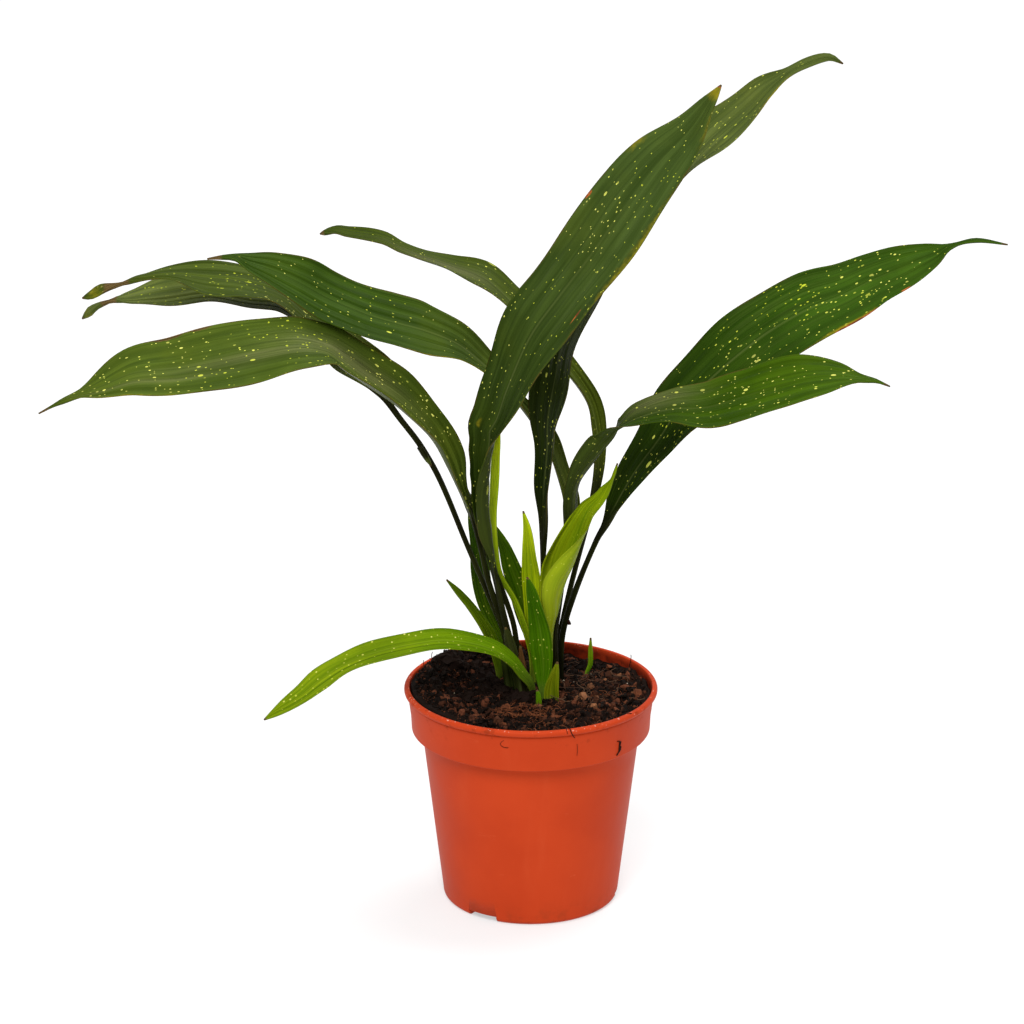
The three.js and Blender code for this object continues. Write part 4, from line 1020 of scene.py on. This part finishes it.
def fibre_tree(name, material, bends, curl, points):
    """Scatters thin bent threads that lie on a surface."""
    tree, given, result = geometry_tree(name, {
        "Per square metre": "Float", "Shortest": "Float", "Longest": "Float", "Thickness": "Float",
        "Seed": "Int"})
    line = geo(tree, "CurvePrimitiveLine", {"Start": (-0.5, 0, 0), "End": (0.5, 0, 0)})
    length = random_value(tree, given["Shortest"], given["Longest"], 21)
    lines = scattered(tree, given, line, random_turn(tree, 0.22, 22),
                      node(tree, "ShaderNodeCombineXYZ", {0: length, 1: length, 2: length}),
                      random_value(tree, 0.0, 1.0, 23))
    divided = geo(tree, "ResampleCurve", {"Curve": lines, "Count": points})
    bent = shoved(tree, divided, 110.0 * bends, 1.0, (0.5, 0.5, 0.44), (curl / bends, curl / bends, 0.005))
    section = geo(tree, "CurvePrimitiveCircle", {"Resolution": 4, "Radius": given["Thickness"]})
    thread = geo(tree, "CurveToMesh", {"Curve": bent, "Profile Curve": section, "Fill Caps": True})
    close_tree(tree, result, thread, material)
    return tree


def soil_patch(radius, lift, keep):
    """The part of the soil's top that loose matter is strewn on."""
    step = 1.5
    count = int(2 * radius / step)
    grid = {}
    points, faces = [], []
    for i in range(count + 1):
        for j in range(count + 1):
            x, y = -radius + i * step, -radius + j * step
            if math.hypot(x, y) < radius and keep(x, y):
                grid[i, j] = len(points)
                points.append((x * MM, y * MM, (soil_height(x, y) + lift) * MM))
    for (i, j), first in grid.items():
        corners = [grid.get(at) for at in ((i + 1, j), (i + 1, j + 1), (i, j + 1))]
        if None not in corners:
            faces.append((first, *corners))
    mesh = bpy.data.meshes.new("soil_patch")
    mesh.from_pydata(points, [], faces)
    return new_object("soil_patch", mesh)


peat = compost("dark_peat", (22, 12, 7), (66, 37, 24), "no_tone")
crumb_brown = compost("peat_crumbs", (15, 8, 5), (102, 57, 37), "crumb_tone")
chip_brown = compost("bark_chips", (16, 9, 5), (110, 62, 39), "crumb_tone")
pebble_tan = compost("bark_pebbles", (58, 32, 20), (156, 104, 70), "crumb_tone")
tuft_brown = compost("coir_fibres", (60, 29, 17), (144, 86, 54), "crumb_tone")
root_brown = compost("dead_roots", (44, 28, 20), (112, 84, 64), "crumb_tone")
grain_white = compost("perlite_grains", (140, 130, 112), (222, 214, 196), "crumb_tone")

soil = new_object("soil_filling", soil_solid(), peat)
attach(soil, "root")
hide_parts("soil")


def strew(tree, values, radius, lift, keep):
    """One loose layer on the soil, as a mesh of its own, named as its tree."""
    mesh = apply_tree(soil_patch(radius, lift, keep), tree, values, tree.name)
    faces_outward(mesh)
    layer = new_object(tree.name, mesh)
    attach(layer, "root")


WHERE = {                 # the parts of the soil's top that a layer is strewn on
    "everywhere": lambda x, y: True,
    "left": lambda x, y: x < 2 and y > -12,
    "right front": lambda x, y: x - 0.6 * y > 8,
    "back right": lambda x, y: x > 12 and y > -14,
    "front centre": lambda x, y: math.hypot((x + 4) / 16, (y + 27) / 10) < 1,
    "wall": lambda x, y: math.hypot(x, y) > 55.5,
    "back left": lambda x, y: math.hypot(x, y) > 58 and math.hypot((x + 44) / 13, (y - 43) / 12) < 1,
}
# Name, material, flatness, greatest tilt and faces; how many a square metre, smallest and largest in
# mm and seed; then out to which radius, how high above the soil, and where.
CRUMB_LAYERS = (
    (("soil_crumbs", crumb_brown, 0.6, 3.1, CRUMB_FACES), (170000, 1.0, 4.4, 3), 57.5, 0.1, "everywhere"),
    (("soil_clods", peat, 0.55, 0.6, CLOD_FACES), (20000, 4, 10, 17), 53, 0.2, "left"),
    (("soil_grit", crumb_brown, 0.7, 3.1, GRIT_FACES), (420000, 0.5, 1.6, 8), 60.2, 0.2, "everywhere"),
    (("edge_crumbs", crumb_brown, 0.6, 3.1, CRUMB_FACES), (330000, 0.9, 2.4, 31), 59.6, 0.2, "wall"),
    (("rim_crumbs", crumb_brown, 0.6, 3.1, CRUMB_FACES), (420000, 0.9, 2.6, 41), 63.8, 0.3, "back left"),
    (("bark_chips", chip_brown, 0.26, 0.9, CRUMB_FACES), (38000, 1.6, 5.2, 5), 56, 0.8, "everywhere"),
    (("bark_pebbles", pebble_tan, 0.7, 3.1, CRUMB_FACES), (6000, 2.2, 5.4, 21), 55, 1.0, "right front"),
    (("perlite_grains", grain_white, 0.8, 3.1, GRIT_FACES), (1300, 0.5, 1.3, 13), 56, 1.2, "everywhere"),
)
# Name, material, number of bends, curl and points; how many, shortest, longest, half thickness in mm
# and seed; then as above.
FIBRE_LAYERS = (
    (("loose_fibres", tuft_brown, 2.0, 0.014, 10), (26000, 3, 8, 0.1, 4), 56, 0.8, "everywhere"),
    (("fibre_tuft", tuft_brown, 2.6, 0.016, 10), (800000, 2, 7, 0.11, 9), 58, 1.4, "front centre"),
    (("dead_roots", root_brown, 1.0, 0.02, 20), (22000, 10, 22, 0.17, 6), 54, 1.2, "back right"),
)
for shape, (number, small, large, seed), radius, lift, where in CRUMB_LAYERS:
    strew(crumb_tree(*shape), {
        "Per square metre": float(number), "Smallest": small * MM, "Largest": large * MM, "Seed": seed,
    }, radius, lift, WHERE[where])
for shape, (number, short, long, thick, seed), radius, lift, where in FIBRE_LAYERS:
    strew(fibre_tree(*shape), {
        "Per square metre": float(number), "Shortest": short * MM, "Longest": long * MM,
        "Thickness": thick * MM, "Seed": seed}, radius, lift, WHERE[where])

# ------------------------------------------------------------------ bits on the pot and the stalks
# What fell or dried on while it was potted: a shred of bark fibre and some root hairs on the
# collar and the lip, and a bud scar on one stalk. They stick to what they lie on.
ON_COLLAR = 0.12          # how far the middle of a thread stands off the plastic


def on_collar(bearing, height):
    """A point on the outside of the collar; bearing is in degrees from the front to the right."""
    radius = pot_inner_radius(height) + COLLAR_WALL + ON_COLLAR
    return radius * math.sin(math.radians(bearing)), -radius * math.cos(math.radians(bearing)), height


# Half thickness in mm, then its points: bearing and height on the collar, or x, y and z.
THREADS = (
    (0.46, (46.9, 101.0), (46.2, 98.8), (46.9, 96.8), (46.2, 95.2)),
    (0.7, (46.9, 98.4), (46.5, 97.4), (46.7, 96.2)),
    (0.34, (46.2, 95.4), (45.4, 94.4), (44.8, 93.7)),
    (0.22, (46.8, 100.8), (45.6, 101.9), (44.6, 101.5)),
    (0.14, (-12.6, 109.4), (-14.2, 108.0), (-14.4, 106.4), (-12.6, 105.0), (-10.6, 105.3)),
    (0.1, (21.6, 106.0), (22.2, 103.0), (21.8, 99.4)),
    (0.26, (17.4, -57.6, 112.8), (18.6, -59.4, 116.0), (19.6, -61.6, 115.4), (20.4, -61.9, 112.6),
     (21.8, -61.2, 110.6)),
    (0.16, (17.2, -59.4, 115.8), (17.8, -61.8, 115.3), (18.2, -62.8, 113.4)),
    (0.2, (-50.5, 30.5, 115.4), (-52.0, 31.5, 118.4), (-50.8, 31.8, 120.6)),
    (0.16, (-46.0, 36.0, 116.0), (-45.2, 37.4, 119.6), (-43.8, 37.8, 120.6)),
    (0.18, (-54.4, 24.0, 113.8), (-56.0, 24.6, 117.4), (-55.2, 25.0, 118.8)),
    (0.2, (50.0, 30.6, 108.9), (52.6, 32.6, 116.4), (52.0, 33.0, 118.6)),
    (0.22, (48.4, -39.6, 114.9), (49.8, -40.2, 115.1), (50.8, -39.4, 115.0)),
    (0.3, (2.6, -14.4, 108.6), (4.4, -16.4, 111.4), (6.4, -16.6, 109.8)),
    (0.24, (5.2, -13.6, 109.0), (6.6, -15.6, 112.2), (8.0, -17.8, 109.4)),
    (0.9, (19.0, 20.4, 142.4), (19.9, 19.8, 141.2), (20.0, 19.6, 140.4)),
)

threads = bpy.data.curves.new("threads", "CURVE")
threads.dimensions = "3D"
threads.bevel_depth = MM
threads.bevel_resolution = 2
threads.use_fill_caps = True
for half_thickness, *points in THREADS:
    spline = threads.splines.new("NURBS")
    spline.points.add(len(points) - 1)
    for point, place in zip(spline.points, points):
        x, y, z = place if len(place) == 3 else on_collar(*place)
        point.co = (x * MM, y * MM, z * MM, 1)
        point.radius = half_thickness
    spline.order_u = 3
    spline.resolution_u = 6
    spline.use_endpoint_u = True
thread_brown = compost("dried_threads", (34, 15, 10), (84, 44, 30), "no_tone")
thread_mesh = finished_mesh(new_object("threads", threads), "dried_threads")
faces_outward(thread_mesh)
dried_threads = new_object("dried_threads", thread_mesh, thread_brown)
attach(dried_threads, "root")
